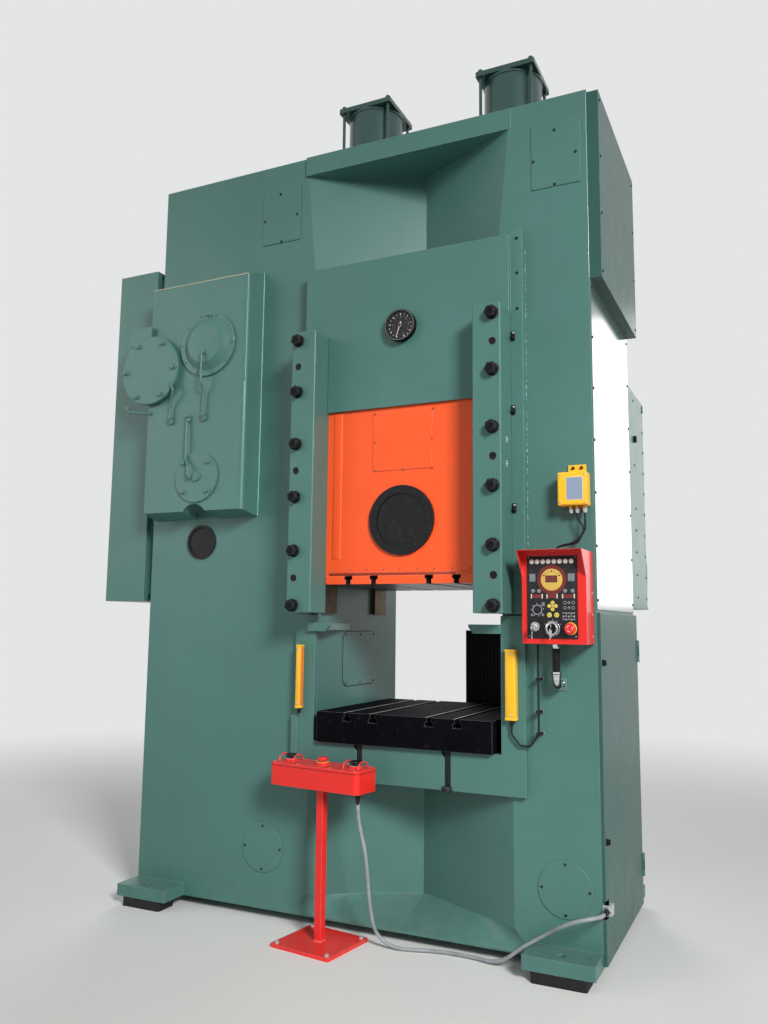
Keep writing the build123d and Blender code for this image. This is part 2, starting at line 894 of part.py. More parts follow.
# Sheet-metal guard over the part of the flywheel and belt outside the column
with BuildPart() as flywheel_guard:
    g_front = front + guard_front_gap
    g_back = g_front + guard_length
    block((guard_left, guard_right), (g_front, g_back), (guard_bottom, guard_top))
    block(
        (guard_right, left),
        (g_front + guard_neck_inset, g_back - guard_neck_inset),
        (guard_bottom + guard_neck_inset, guard_top - guard_neck_inset),
    )
    block(
        (guard_left + guard_wall, guard_right - guard_wall),
        (g_front + guard_wall, g_back - guard_wall),
        (guard_bottom + guard_wall, guard_top - guard_wall),
        Mode.SUBTRACT,
    )
    block(
        (guard_right - guard_wall, left),
        (g_front + guard_neck_inset + guard_wall, g_back - guard_neck_inset - guard_wall),
        (guard_bottom + guard_neck_inset + guard_wall, guard_top - guard_neck_inset - guard_wall),
        Mode.SUBTRACT,
    )
finish(flywheel_guard.part, "flywheel_guard")

# Electric motor on its shelf in the left column, fins along the body
with BuildPart() as drive_motor:
    motor_back = belt_front - 25
    motor_front = motor_back - motor_length
    disc(motor_x, motor_z, motor_radius - 14, motor_front, motor_back)
    with BuildSketch(facing(motor_back - 40)):
        with Locations((motor_x, motor_z)):
            with PolarLocations(motor_radius - 15, 24):
                Rectangle(30, 6)
    extrude(amount=motor_length - 110)
    disc(motor_x, motor_z, motor_radius - 4, motor_front, motor_front + 60)
    disc(motor_x, motor_z, motor_radius - 4, motor_back - 36, motor_back)
    block(
        (motor_x - 110, motor_x + 110),
        (motor_front + 80, motor_back - 60),
        (motor_z - motor_radius - 30, motor_z - motor_radius + 30),
    )
    disc(motor_x, motor_z, motor_shaft_radius, motor_back, belt_front + belt_width + 5)
finish(drive_motor.part, "drive_motor")

with BuildPart() as motor_pulley:
    disc(motor_x, motor_z, pulley_radius, belt_front - 5, belt_front + belt_width + 5)
    disc(motor_x, motor_z, pulley_radius - 22, belt_front + 25, belt_front + belt_width + 5, Mode.SUBTRACT)
    disc(motor_x, motor_z, motor_shaft_radius + 20, belt_front + 25, belt_front + belt_width + 5)
    disc(
        motor_x,
        motor_z,
        motor_shaft_radius + pin_clearance,
        belt_front - 5,
        belt_front + belt_width + 5,
        Mode.SUBTRACT,
    )
finish(motor_pulley.part, "motor_pulley")

# Flat ribbed belt round the motor pulley and the flywheel rim
with BuildPart() as drive_belt:
    with BuildSketch(facing(belt_front + belt_width)):
        with Locations((motor_x, motor_z)):
            Circle(pulley_radius + belt_gap + belt_thickness)
        with Locations((pinion_x, pinion_z)):
            Circle(flywheel_radius + belt_gap + belt_thickness)
        make_hull()
    extrude(amount=belt_width)
    with BuildSketch(facing(belt_front + belt_width)):
        with Locations((motor_x, motor_z)):
            Circle(pulley_radius + belt_gap)
        with Locations((pinion_x, pinion_z)):
            Circle(flywheel_radius + belt_gap)
        make_hull()
    extrude(amount=belt_width, mode=Mode.SUBTRACT)
finish(drive_belt.part, "drive_belt")

# Flywheel: heavy rim, web and hub with the clutch recess
with BuildPart() as flywheel:
    f_back = flywheel_front + flywheel_width
    with BuildSketch(Plane(origin=(pinion_x, 0, pinion_z), x_dir=(1, 0, 0), z_dir=(0, 0, 1))):
        span(pinion_shaft_radius + pin_clearance, flywheel_radius, flywheel_front, f_back)
        span(130, flywheel_radius - flywheel_rim, flywheel_front, flywheel_front + 80, mode=Mode.SUBTRACT)
        span(130, flywheel_radius - flywheel_rim, f_back - 80, f_back, mode=Mode.SUBTRACT)
    revolve(axis=Axis((pinion_x, 0, pinion_z), (0, 1, 0)))
finish(flywheel.part, "flywheel")


def gear_outline(x, z, teeth, first_angle):
    """A spur gear's outline in the sketch being drawn, with flanks of two straight runs a side."""
    pitch = gear_module * teeth / 2
    root = pitch - 1.25 * gear_module
    tip = pitch + gear_module
    half = (math.pi * gear_module / 2 - backlash) / 2 / pitch
    points = []
    for number in range(teeth):
        middle = math.radians(first_angle) + 2 * math.pi * number / teeth
        for radius, share in ((root, 1.55), (pitch, 1.0), (tip, 0.42)):
            points.append((radius, middle - half * share))
        for radius, share in ((tip, 0.42), (pitch, 1.0), (root, 1.55)):
            points.append((radius, middle + half * share))
    with BuildLine() as outline:
        Polyline(*[(x + r * math.cos(a), z + r * math.sin(a)) for r, a in points], close=True)
    make_face(outline.edges())


# Main gear on the crankshaft, pierced web
with BuildPart() as main_gear:
    gear_front = front + gear_depth
    with BuildSketch(facing(gear_front + gear_face)):
        gear_outline(crank_x, crank_z, gear_teeth, gear_angle + 180)
        with Locations((crank_x, crank_z)):
            Circle(crankshaft_radius + pin_clearance, mode=Mode.SUBTRACT)
            with PolarLocations(190, 6):
                Circle(58, mode=Mode.SUBTRACT)
    extrude(amount=gear_face)
finish(main_gear.part, "main_gear")

# Pinion cut on its shaft, with the clutch plate behind it
with BuildPart() as pinion_shaft:
    with BuildSketch(facing(front + gear_depth + gear_face)):
        gear_outline(pinion_x, pinion_z, pinion_teeth, gear_angle + 180 / pinion_teeth)
    extrude(amount=gear_face)
    disc(pinion_x, pinion_z, pinion_shaft_radius, front - gearbox_depth - 12, back - 72)
    disc(pinion_x, pinion_z, 120, flywheel_front - 62, flywheel_front - 3)
finish(pinion_shaft.part, "pinion_shaft")

# Crankshaft with its overhung disc, and the pin that the rod turns on
with BuildPart() as crankshaft:
    disc(crank_x, crank_z, crankshaft_radius, front - gearbox_depth - 8, crank_disc_front)
    disc(crank_x, crank_z, crank_disc_radius, crank_disc_front, crank_disc_front + crank_disc_thickness)
finish(crankshaft.part, "crankshaft")

with BuildPart() as crank_pin:
    disc(crank_pin_x, crank_pin_z, crank_pin_radius, rod_front - side_gap / 2, rod_back)
    disc(crank_pin_x, crank_pin_z, crank_pin_radius + 12, rod_back, rod_back + 14)
finish(crank_pin.part, "crank_pin")


def bar_with_eyes(x0, z0, r0, x1, z1, r1, shank, y0, y1):
    """A flat bar with a round eye at each end, in the part being built."""
    length = math.hypot(x1 - x0, z1 - z0)
    tilt = math.degrees(math.atan2(z1 - z0, x1 - x0))
    with BuildSketch(facing(y1)) as profile:
        with Locations((x0, z0)):
            Circle(r0)
        with Locations((x1, z1)):
            Circle(r1)
        with Locations(Location(((x0 + x1) / 2, (z0 + z1) / 2, 0), (0, 0, tilt))):
            Rectangle(length, shank)
    extrude(profile.sketch, amount=y1 - y0)


with BuildPart() as connecting_rod:
    bar_with_eyes(
        knuckle_x, knuckle_z, link_eye_radius, crank_pin_x, crank_pin_z, rod_big_end_radius,
        rod_shank, rod_front, rod_back,
    )
    disc(knuckle_x, knuckle_z, link_pin_radius + pin_clearance, rod_front, rod_back, Mode.SUBTRACT)
    disc(crank_pin_x, crank_pin_z, crank_pin_radius + pin_clearance, rod_front, rod_back, Mode.SUBTRACT)
finish(connecting_rod.part, "connecting_rod")

# Lower link: a fork round the rod at the knuckle, and a thick foot on the ram
fork = cheek_thickness + side_gap
with BuildPart() as lower_link:
    for y0, y1 in ((rod_front - fork, rod_front - side_gap), (rod_back + side_gap, rod_back + fork)):
        bar_with_eyes(
            knuckle_x, knuckle_z, link_eye_radius, ram_centre, wrist_height, wrist_eye_radius, 150, y0, y1
        )
    disc(ram_centre, wrist_height, wrist_eye_radius, rod_front - fork, rod_back + fork)
    pin_hole = link_pin_radius + pin_clearance
    disc(knuckle_x, knuckle_z, pin_hole, rod_front - fork, rod_back + fork, Mode.SUBTRACT)
finish(lower_link.part, "lower_link")

# Upper link: two cheeks outside the fork, joined at the top eye
outer_fork = 2 * fork
with BuildPart() as upper_link:
    for y0, y1 in (
        (rod_front - outer_fork, rod_front - fork - side_gap),
        (rod_back + fork + side_gap, rod_back + outer_fork),
    ):
        bar_with_eyes(
            knuckle_x, knuckle_z, link_eye_radius, ram_centre, upper_pin_height, link_eye_radius, 150, y0, y1
        )
    disc(ram_centre, upper_pin_height, link_eye_radius, rod_front - outer_fork, rod_back + outer_fork)
    disc(
        ram_centre, upper_pin_height, link_pin_radius + pin_clearance,
        rod_front - outer_fork, rod_back + outer_fork, Mode.SUBTRACT,
    )
    disc(
        knuckle_x, knuckle_z, link_pin_radius + pin_clearance,
        rod_front - outer_fork, rod_back + outer_fork, Mode.SUBTRACT,
    )
finish(upper_link.part, "upper_link")

with BuildPart() as knuckle_pin:
    disc(knuckle_x, knuckle_z, link_pin_radius, rod_front - outer_fork, rod_back + outer_fork)
finish(knuckle_pin.part, "knuckle_pin")

with BuildPart() as upper_pin:
    pin_front = rod_front - lug_gap - plate
    pin_back = rod_back + lug_gap + plate
    disc(ram_centre, upper_pin_height, link_pin_radius, pin_front, pin_back)
finish(upper_pin.part, "upper_pin")

# Ram: a deep block between the gibs, open at the top for the lower link, T-slots underneath
with BuildPart() as slide:
    ram_front = gib_back + sliding_gap
    ram_left = ram_centre - ram_width / 2
    ram_right = ram_centre + ram_width / 2
    block((ram_left, ram_right), (ram_front, ram_front + ram_depth), (ram_bottom, ram_top))
    block(
        (ram_centre - gib_gap / 2 + 4, ram_centre + gib_gap / 2 - 4),
        (ram_front, ram_front + ram_face_thickness - 10),
        (ram_top, ram_face_top),
    )
    block(
        (ram_left + 70, ram_right - 70),
        (ram_front + ram_face_thickness, rod_front - 2 * fork - 40),
        (ram_bottom + 110, ram_top),
        Mode.SUBTRACT,
    )
    block(
        (ram_left + 70, ram_right - 70),
        (rod_back + 2 * fork + 40, ram_front + ram_depth - 60),
        (ram_bottom + 110, ram_top),
        Mode.SUBTRACT,
    )
    block(
        (ram_centre - ram_pocket_width / 2 - 60, ram_centre + ram_pocket_width / 2),
        (rod_front - 2 * fork - 10, rod_back + 2 * fork + 10),
        (ram_top - ram_pocket_depth, ram_top),
        Mode.SUBTRACT,
    )
    # raised band across the foot of the face, and a flat bead down its left side
    face_left = ram_centre - gib_gap / 2 + 4
    face_right = ram_centre + gib_gap / 2 - 4
    block((face_left, face_right), (ram_front - 8, ram_front), (ram_bottom, ram_bottom + ram_band_height))
    bead_left = face_left + ram_bead_inset
    block(
        (bead_left, bead_left + ram_bead_width),
        (ram_front - 3, ram_front),
        (ram_bottom + ram_bead_foot, ram_bottom + ram_bead_head),
    )
    port_back = ram_front + ram_face_thickness
    disc(ram_centre, ram_port_height, ram_port_radius - 30, ram_front, port_back, Mode.SUBTRACT)
    with BuildSketch(facing(ram_front + ram_depth)):
        for pitch in (slot_inner_pitch, slot_outer_pitch):
            for side in (-1, 1):
                x = ram_centre + side * pitch / 2
                span(x - slot_neck / 2, x + slot_neck / 2, ram_bottom, ram_bottom + slot_depth)
                span(
                    x - slot_head / 2,
                    x + slot_head / 2,
                    ram_bottom + slot_depth - slot_head_height,
                    ram_bottom + slot_depth,
                )
    extrude(amount=ram_depth + 8, mode=Mode.SUBTRACT)
finish(slide.part, "slide")

with BuildPart() as ram_cover:
    with BuildSketch(facing(ram_front)):
        with Locations((ram_centre, ram_cover_middle)):
            Rectangle(ram_cover_width, ram_cover_height)
    extrude(amount=ram_cover_thickness)
finish(ram_cover.part, "ram_cover")

with BuildPart() as ram_port_cover:
    disc(ram_centre, ram_port_height, ram_port_radius, ram_front - ram_port_thickness, ram_front)
    port_face = ram_front - ram_port_thickness
    disc(ram_centre, ram_port_height, ram_port_radius - 42, port_face, ram_front - 8, Mode.SUBTRACT)
finish(ram_port_cover.part, "ram_port_cover")

# Balance cylinders: tubes on the crown with square caps and tie rods
balance_y = front + balance_depth
with BuildPart() as balance_cylinders:
    for side in (-1, 1):
        centre = (ram_centre + side * balance_offset, balance_y)
        with BuildSketch(Plane.XY.offset(frame_top)):
            with Locations(centre):
                Circle(balance_tube_radius)
                Circle(balance_tube_radius - balance_tube_wall, mode=Mode.SUBTRACT)
                with GridLocations(2 * tie_rod_offset, 2 * tie_rod_offset, 2, 2):
                    Circle(tie_rod_radius)
        extrude(amount=balance_height)
        with BuildSketch(Plane.XY.offset(frame_top + balance_height)):
            with Locations(centre):
                RectangleRounded(balance_cap, balance_cap, 10)
        extrude(amount=balance_cap_thickness)
finish(balance_cylinders.part, "balance_cylinders")

with BuildPart() as balance_rods:
    for side in (-1, 1):
        centre = (ram_centre + side * balance_offset, balance_y)
        with BuildSketch(Plane.XY.offset(ram_top)):
            with Locations(centre):
                Circle(balance_rod_radius)
        extrude(amount=balance_piston_height - ram_top)
        with BuildSketch(Plane.XY.offset(balance_piston_height)):
            with Locations(centre):
                Circle(balance_tube_radius - balance_tube_wall - sliding_gap)
        extrude(amount=balance_piston_thickness)
finish(balance_rods.part, "balance_rods")

# Right side: cover box at the crown, panel below it
with BuildPart() as side_covers:
    block((right, right + cover_box_proud), (front, back), (cover_box_bottom, frame_top - 16))
    block(
        (right, right + cover_box_proud - 3),
        (front + 3, back - 3),
        (cover_box_bottom + 3, frame_top - 19),
        Mode.SUBTRACT,
    )
    side_panel_face = right + side_panel_thickness
    block((right, side_panel_face), (front + 8, back - 8), (side_panel_bottom, cover_box_bottom))
finish(side_covers.part, "side_covers")

# Side door: a folded tray hinged at the rear edge, notched for the conduit gland
with BuildPart() as side_door:
    door_y = (front + 2, back - 2)
    block((right + sliding_gap, right + door_thickness), door_y, (door_bottom, door_bottom + door_height))
    block(
        (right + sliding_gap, right + door_thickness - door_wall),
        (door_y[0] + door_wall, door_y[1] - door_wall),
        (door_bottom + door_wall, door_bottom + door_height - door_wall),
        Mode.SUBTRACT,
    )
    block(
        (right, right + door_thickness),
        (front, front + 62),
        (gland_height - door_notch_height / 2, gland_height + door_notch_height / 2),
        Mode.SUBTRACT,
    )
    for z in (latch_upper, latch_lower):
        with BuildSketch(side_on(right + door_thickness)):
            with Locations((front + 30, z)):
                Circle(latch_shaft_radius + pin_clearance)
        extrude(amount=-door_wall, mode=Mode.SUBTRACT)
    for z in hinge_heights:
        with BuildSketch(Plane.XY.offset(z - hinge_knuckle / 2)):
            with Locations((hinge_x, hinge_y)):
                Circle(hinge_radius)
            span(hinge_x - 8, right + door_thickness, back - 10, hinge_y)
        extrude(amount=hinge_knuckle)
finish(side_door.part, "side_door")


def latch(z):
    """A quarter-turn latch: round escutcheon knob outside, cam tongue inside the door."""
    with BuildPart() as knob:
        with BuildSketch(side_on(right + door_thickness + sliding_gap)):
            with Locations((front + 30, z)):
                Circle(latch_radius)
        extrude(amount=9)
        with BuildSketch(side_on(right + door_thickness - door_wall - 6)):
            with Locations((front + 30, z)):
                Circle(latch_shaft_radius)
        extrude(amount=door_wall + 7)
        with BuildSketch(side_on(right + door_thickness + sliding_gap + 9)):
            with Locations((front + 30, z)):
                SlotOverall(2 * latch_radius - 6, 9, rotation=90)
        extrude(amount=8)
    return knob.part


with BuildPart() as upper_latch:
    add(latch(latch_upper))
finish(upper_latch.part, "upper_latch")

with BuildPart() as lower_latch:
    add(latch(latch_lower))
finish(lower_latch.part, "lower_latch")

# Mounting plate in the cabinet with contactors, drives and terminal rails
with BuildPart() as cabinet_plate:
    plate_x = well_right + plate
    block(
        (plate_x, plate_x + mounting_plate_thickness),
        (front + cabinet_side_margin + 20, back - cabinet_side_margin - 20),
        (cabinet_bottom, cabinet_top - 20),
    )
    face_x = plate_x + mounting_plate_thickness
    for row in range(3):
        z = cabinet_bottom + 180 + row * 400
        block((face_x, face_x + 12), (front + 160, back - 160), (z, z + 30))
        for step in range(6):
            y = front + 200 + step * 100
            block((face_x + 12, face_x + 92), (y, y + 66), (z - 30, z + 60))
    block((face_x, face_x + 110), (front + 170, front + 430), (cabinet_top - 330, cabinet_top - 60))
finish(cabinet_plate.part, "cabinet_plate")

# Folded guard behind the rear right corner, flush with the side panel
with BuildPart() as rear_guard:
    rear_guard_right = right + side_panel_thickness
    rear_guard_left = rear_guard_right - rear_guard_width
    block(
        (rear_guard_left, rear_guard_right),
        (back, back + rear_guard_depth),
        (rear_guard_bottom, rear_guard_top),
    )
    block(
        (rear_guard_left + rear_guard_wall, rear_guard_right - rear_guard_wall),
        (back, back + rear_guard_depth - rear_guard_wall),
        (rear_guard_bottom + rear_guard_wall, rear_guard_top - rear_guard_wall),
        Mode.SUBTRACT,
    )
finish(rear_guard.part, "rear_guard")

# Red control box: folded shell with a hood, its front closed by the panel
box_right = box_left + box_width
box_top = box_bottom + box_height
box_front = front - box_depth
panel_right = box_right - panel_margin - 14
with BuildPart() as control_box:
    with BuildSketch(side_on(box_left)):
        with BuildLine():
            Polyline(
                (front, box_bottom),
                (box_front, box_bottom),
                (box_front, box_top - box_hood_height),
                (box_front - box_hood, box_top),
                (front, box_top),
                close=True,
            )
        make_face()
    extrude(amount=box_width)
    block(
        (box_left + box_wall, box_right - box_wall),
        (box_front + box_wall, front - box_wall),
        (box_bottom + box_wall, box_top - box_wall),
        Mode.SUBTRACT,
    )
    block(
        (box_left + box_wall, box_right - box_wall),
        (box_front - box_hood, box_front),
        (box_bottom, box_top - box_wall),
        Mode.SUBTRACT,
    )
    block(
        (box_left + panel_margin + 8, panel_right - 8),
        (box_front, box_front + box_wall),
        (box_bottom + panel_margin + 8, box_top - panel_margin - 4),
        Mode.SUBTRACT,
    )
finish(control_box.part, "control_box")

switch_z = box_bottom + 78
stop_z = box_bottom + 70
key_x = box_left + 62
selector_x = box_left + 143
stop_x = box_left + 227
panel_face = box_front - panel_thickness
with BuildPart() as control_panel:
    with BuildSketch(facing(box_front)):
        span(box_left + panel_margin, panel_right, box_bottom + panel_margin, box_top - panel_margin + 4)
    extrude(amount=panel_thickness)
    disc(box_left + 142, box_bottom + 292, 68, panel_face - 3, panel_face)
    for x, z in ((key_x, switch_z), (selector_x, stop_z)):
        disc(x, z, 9, panel_face - 8, panel_face)
    disc(stop_x, stop_z, stop_radius + 4, panel_face - 8, panel_face)
    disc(stop_x, stop_z, stop_stem_radius + pin_clearance, panel_face - 8, box_front, Mode.SUBTRACT)
finish(control_panel.part, "control_panel")

knob_back = panel_face - 8 - sliding_gap
with BuildPart() as key_switch:
    disc(key_x, switch_z, key_radius, knob_back - 14, knob_back)
    block((key_x - 2, key_x + 2), (knob_back - 40, knob_back - 14), (switch_z - 16, switch_z + 8))
finish(key_switch.part, "key_switch")

with BuildPart() as mode_selector:
    disc(selector_x, stop_z, knob_radius, knob_back - 12, knob_back)
    with BuildSketch(facing(knob_back - 12)):
        with Locations((selector_x, stop_z)):
            SlotOverall(2 * knob_radius - 6, 14, rotation=60)
    extrude(amount=14)
finish(mode_selector.part, "mode_selector")

with BuildPart() as emergency_stop:
    disc(stop_x, stop_z, stop_stem_radius, panel_face - 16, panel_face + 3)
    disc(stop_x, stop_z, stop_radius, panel_face - 32, panel_face - 16)
    fillet(emergency_stop.faces().sort_by(Axis.Y)[0].edges(), 9)
finish(emergency_stop.part, "emergency_stop")

# Gland, flexible conduit and elbow from the control box into the column
with BuildPart() as box_conduit:
    fitting_x = box_left + 137
    fitting_y = front - 75
    with BuildSketch(Plane.XY.offset(box_bottom)):
        with Locations((fitting_x, fitting_y)):
            RegularPolygon(conduit_fitting_radius + 4, 6)
    extrude(amount=-22)
    with BuildSketch(Plane.XY.offset(box_bottom - 22)):
        with Locations((fitting_x, fitting_y)):
            Circle(conduit_fitting_radius - 4)
    extrude(amount=-104)
    with BuildSketch(Plane.XY.offset(box_bottom - 126)):
        with Locations((fitting_x, fitting_y)):
            Circle(conduit_fitting_radius + 3)
    extrude(amount=-26)
    with BuildLine() as bend:
        FilletPolyline(
            (fitting_x, fitting_y, box_bottom - 152),
            (fitting_x, fitting_y, box_bottom - 190),
            (fitting_x, front, box_bottom - 190),
            radius=30,
        )
    with BuildSketch(Plane.XY.offset(box_bottom - 152)):
        with Locations((fitting_x, fitting_y)):
            Circle(conduit_fitting_radius - 1)
    sweep(path=bend.line)
    disc(fitting_x, box_bottom - 190, conduit_fitting_radius + 4, front - 16, front)
finish(box_conduit.part, "box_conduit")

# Yellow amplifier box with its mounting ears and three glands underneath
with BuildPart() as amplifier_box:
    amplifier_back = front - 6
    with BuildSketch(facing(amplifier_back)):
        with Locations((amplifier_x + amplifier_width / 2, amplifier_z + amplifier_height / 2)):
            RectangleRounded(amplifier_width, amplifier_height, 5)
    extrude(amount=amplifier_depth - 6)
    with BuildSketch(facing(front)):
        span(amplifier_x + 34, amplifier_x + 120, amplifier_z - 6, amplifier_z + amplifier_height + 45)
        for dx in (58, 98):
            with Locations((amplifier_x + dx, amplifier_z + amplifier_height + 30)):
                Circle(7, mode=Mode.SUBTRACT)
    extrude(amount=6)
    with BuildSketch(Plane.XY.offset(amplifier_z)):
        for dx in amplifier_glands:
            with Locations((amplifier_x + dx, front - amplifier_gland_depth)):
                Circle(8)
    extrude(amount=-20)
finish(amplifier_box.part, "amplifier_box")

# Light curtain bars on both sides of the die space
curtain_x = (well_left - 2 * curtain_gap - 28, well_right + curtain_gap)
with BuildPart() as light_curtains:
    for x, curtain_width in zip(curtain_x, curtain_widths):
        with BuildSketch(Plane.XY.offset(curtain_bottom)):
            with Locations((x + curtain_width / 2, front - apron_thickness - curtain_depth / 2)):
                Rectangle(curtain_width, curtain_depth)
        extrude(amount=curtain_height)
        with BuildSketch(Plane.XY.offset(curtain_bottom)):
            with Locations((x + curtain_width / 2, front - apron_thickness - curtain_depth / 2)):
                Circle(8)
        extrude(amount=-26)
finish(light_curtains.part, "light_curtains")

# Cables from the right light curtain and from the amplifier, up into the control box
cable_y = front - apron_thickness - curtain_depth / 2
with BuildPart() as sensor_cables:
    start_x = curtain_x[1] + curtain_widths[1] / 2
    end_x = box_left + 44
    curtain_exit = curtain_bottom - 26
    loop_z = curtain_exit - 88
    add(
        pipe_run(
            [
                (start_x, cable_y, curtain_exit),
                (start_x, cable_y, loop_z + 50),
                (start_x + 40, cable_y, loop_z),
                (end_x - 40, cable_y, loop_z),
                (end_x, cable_y, loop_z + 60),
                (end_x, cable_y, box_bottom),
            ],
            sensor_cable_radius,
            24,
        )
    )
    amp_cable_x = amplifier_x + amplifier_glands[2]
    hood_entry_x = box_left + 140
    add(
        pipe_run(
            [
                (amp_cable_x, front - amplifier_gland_depth, amplifier_z - 20),
                (amp_cable_x, front - amplifier_gland_depth, box_top + 108),
                (amp_cable_x - 36, front - amplifier_gland_depth, box_top + 44),
                (hood_entry_x, front - amplifier_gland_depth, box_top + 26),
                (hood_entry_x, front - amplifier_gland_depth, box_top),
            ],
            sensor_cable_radius,
            20,
        )
    )
    for z in (loop_z + 60, loop_z + 160, loop_z + 310):
        block((end_x - 11, end_x + 11), (cable_y - 8, front), (z - 6, z + 6))
finish(sensor_cables.part, "sensor_cables")

# Pendant stand: base plate, square post and console with its buttons
stand_y = front - stand_front / 2
stand_plane = Plane(
    origin=(stand_x, stand_y, 0),
    x_dir=(math.cos(math.radians(stand_turn)), math.sin(math.radians(stand_turn)), 0),
    z_dir=(0, 0, 1),
)
with BuildPart() as pendant_stand:
    with BuildSketch(stand_plane):
        RectangleRounded(stand_plate, stand_plate - 20, 8)
    extrude(amount=stand_plate_thickness)
    with BuildSketch(stand_plane.offset(stand_plate_thickness)):
        Rectangle(stand_post, stand_post)
        Rectangle(stand_post - 2 * stand_post_wall, stand_post - 2 * stand_post_wall, mode=Mode.SUBTRACT)
    extrude(amount=console_bottom - stand_plate_thickness)
finish(pendant_stand.part, "pendant_stand")

with BuildPart() as pendant_console:
    with BuildSketch(stand_plane.offset(console_bottom)):
        RectangleRounded(console_length, console_depth, console_corner)
    extrude(amount=console_height)
    with BuildSketch(stand_plane.offset(console_bottom + console_wall)):
        RectangleRounded(
            console_length - 2 * console_wall, console_depth - 2 * console_wall, console_corner - console_wall
        )
    extrude(amount=console_height - 2 * console_wall, mode=Mode.SUBTRACT)
    with BuildSketch(stand_plane.offset(console_bottom + console_height)):
        with Locations((-palm_spacing / 2, 0), (0, 0), (palm_spacing / 2, 0)):
            Circle(palm_radius + 7)
            Circle(palm_stem_radius, mode=Mode.SUBTRACT)
    extrude(amount=12)
    with BuildSketch(stand_plane.offset(console_bottom + console_height - console_wall)):
        with Locations((-palm_spacing / 2, 0), (0, 0), (palm_spacing / 2, 0)):
            Circle(palm_stem_radius)
    extrude(amount=console_wall, mode=Mode.SUBTRACT)
    with BuildSketch(stand_plane.offset(console_bottom)):
        with Locations((conduit_offset, 0)):
            Circle(16)
    extrude(amount=-14)
finish(pendant_console.part, "pendant_console")


def palm_button(offset):
    """A mushroom button on top of the console, at its offset along the console."""
    base = console_bottom + console_height + 12 + palm_travel
    with BuildPart() as button:
        with BuildSketch(stand_plane.offset(base - 24)):
            with Locations((offset, 0)):
                Circle(palm_stem_radius - pin_clearance)
        extrude(amount=24)
        with BuildSketch(stand_plane.offset(base)):
            with Locations((offset, 0)):
                Circle(palm_radius)
        extrude(amount=16)
        fillet(button.faces().sort_by(Axis.Z)[-1].edges(), 7)
    return button.part


for name, offset in (("left_palm_button", -1), ("pendant_stop_button", 0), ("right_palm_button", 1)):
    with BuildPart() as button_part:
        add(palm_button(offset * palm_spacing / 2))
    finish(button_part.part, name)

# Gland of the pendant conduit on the side of the right column
with BuildPart() as conduit_gland:
    block((right, right + 40), (front + 6, front + 56), (gland_height - 22, gland_height + 22))
    disc(gland_x, gland_height, 17, gland_face, front + 6)
finish(conduit_gland.part, "conduit_gland")

# Grey conduit from the console down to the floor and along it to the gland
exit_point = stand_plane.from_local_coords((conduit_offset, 0, console_bottom - 14))
conduit_points = [
    (exit_point.X, exit_point.Y, exit_point.Z),
    (exit_point.X, exit_point.Y, exit_point.Z - 74),
    (204, front - 206, 566),
    (228, front - 201, 476),
    (236, front - 190, 378),
    (234, front - 168, 276),
    (231, front - 136, 172),
    (240, front - 112, 84),
    (280, front - 92, 32),
    (346, front - 88, 11),
    (432, front - 66, 11),
    (530, front - 34, 11),
    (632, front - 24, 11),
    (734, front - 30, 11),
    (822, front - 56, 16),
    (892, front - 80, 50),
    (958, front - 86, 108),
    (1036, front - 74, 156),
    (1106, front - 100, 206),
    (1168, front - 145, 252),
    (1235, front - 160, 286),
    (right - 16, front - 136, gland_height + 1),
    (gland_x, gland_face - 64, gland_height + 1),
    (gland_x, gland_face, gland_height + 1),
]


def rounded_route(points):
    """Corner radii for a route: 0.45 of the shorter run over the tangent of half the turn."""
    radii = []
    for before, here, after in zip(points, points[1:], points[2:]):
        run_in = Vector(*here) - Vector(*before)
        run_out = Vector(*after) - Vector(*here)
        turn = math.radians(run_in.get_angle(run_out))
        radii.append(0.45 * min(run_in.length, run_out.length) / math.tan(turn / 2))
    return radii


conduit_radii = rounded_route(conduit_points)
print("conduit radii", [round(r) for r in conduit_radii])
with BuildPart() as pendant_conduit:
    with BuildLine() as conduit_line:
        FilletPolyline(*conduit_points, radius=conduit_radii)
    with BuildSketch(Plane(origin=conduit_line.line @ 0, z_dir=conduit_line.line % 0)):
        Circle(conduit_radius)
    sweep(path=conduit_line.line)
conduit_length = sum(edge.length for edge in conduit_line.edges())
conduit_share = pendant_conduit.part.volume / (math.pi * conduit_radius**2 * conduit_length)
print("conduit length", round(conduit_length), "volume over section times length", round(conduit_share, 4))
finish(pendant_conduit.part, "pendant_conduit")
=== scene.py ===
"""Looks of the knuckle-joint press: finishes, screws, gauge, controls, covers and cable runs."""

import math
import random

import bmesh
import bpy
from mathutils import Matrix, Vector


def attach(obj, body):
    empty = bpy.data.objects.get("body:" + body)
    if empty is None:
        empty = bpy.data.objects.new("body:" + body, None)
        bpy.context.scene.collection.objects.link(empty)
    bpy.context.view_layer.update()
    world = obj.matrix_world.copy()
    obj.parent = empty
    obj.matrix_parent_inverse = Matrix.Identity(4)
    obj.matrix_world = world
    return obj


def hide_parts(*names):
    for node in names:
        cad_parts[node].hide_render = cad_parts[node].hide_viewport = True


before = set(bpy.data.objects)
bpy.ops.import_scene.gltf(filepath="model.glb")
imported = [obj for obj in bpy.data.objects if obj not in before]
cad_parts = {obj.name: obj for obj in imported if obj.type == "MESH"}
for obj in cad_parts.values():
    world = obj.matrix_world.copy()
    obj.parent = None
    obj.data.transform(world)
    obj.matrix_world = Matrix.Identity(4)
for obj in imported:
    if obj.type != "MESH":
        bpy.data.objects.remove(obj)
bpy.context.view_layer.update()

MM = 0.001
AHEAD = (0, -1, 0)
ABACK = (0, 1, 0)
RIGHTWARD = (1, 0, 0)
UPWARD = (0, 0, 1)
DOWNWARD = (0, 0, -1)

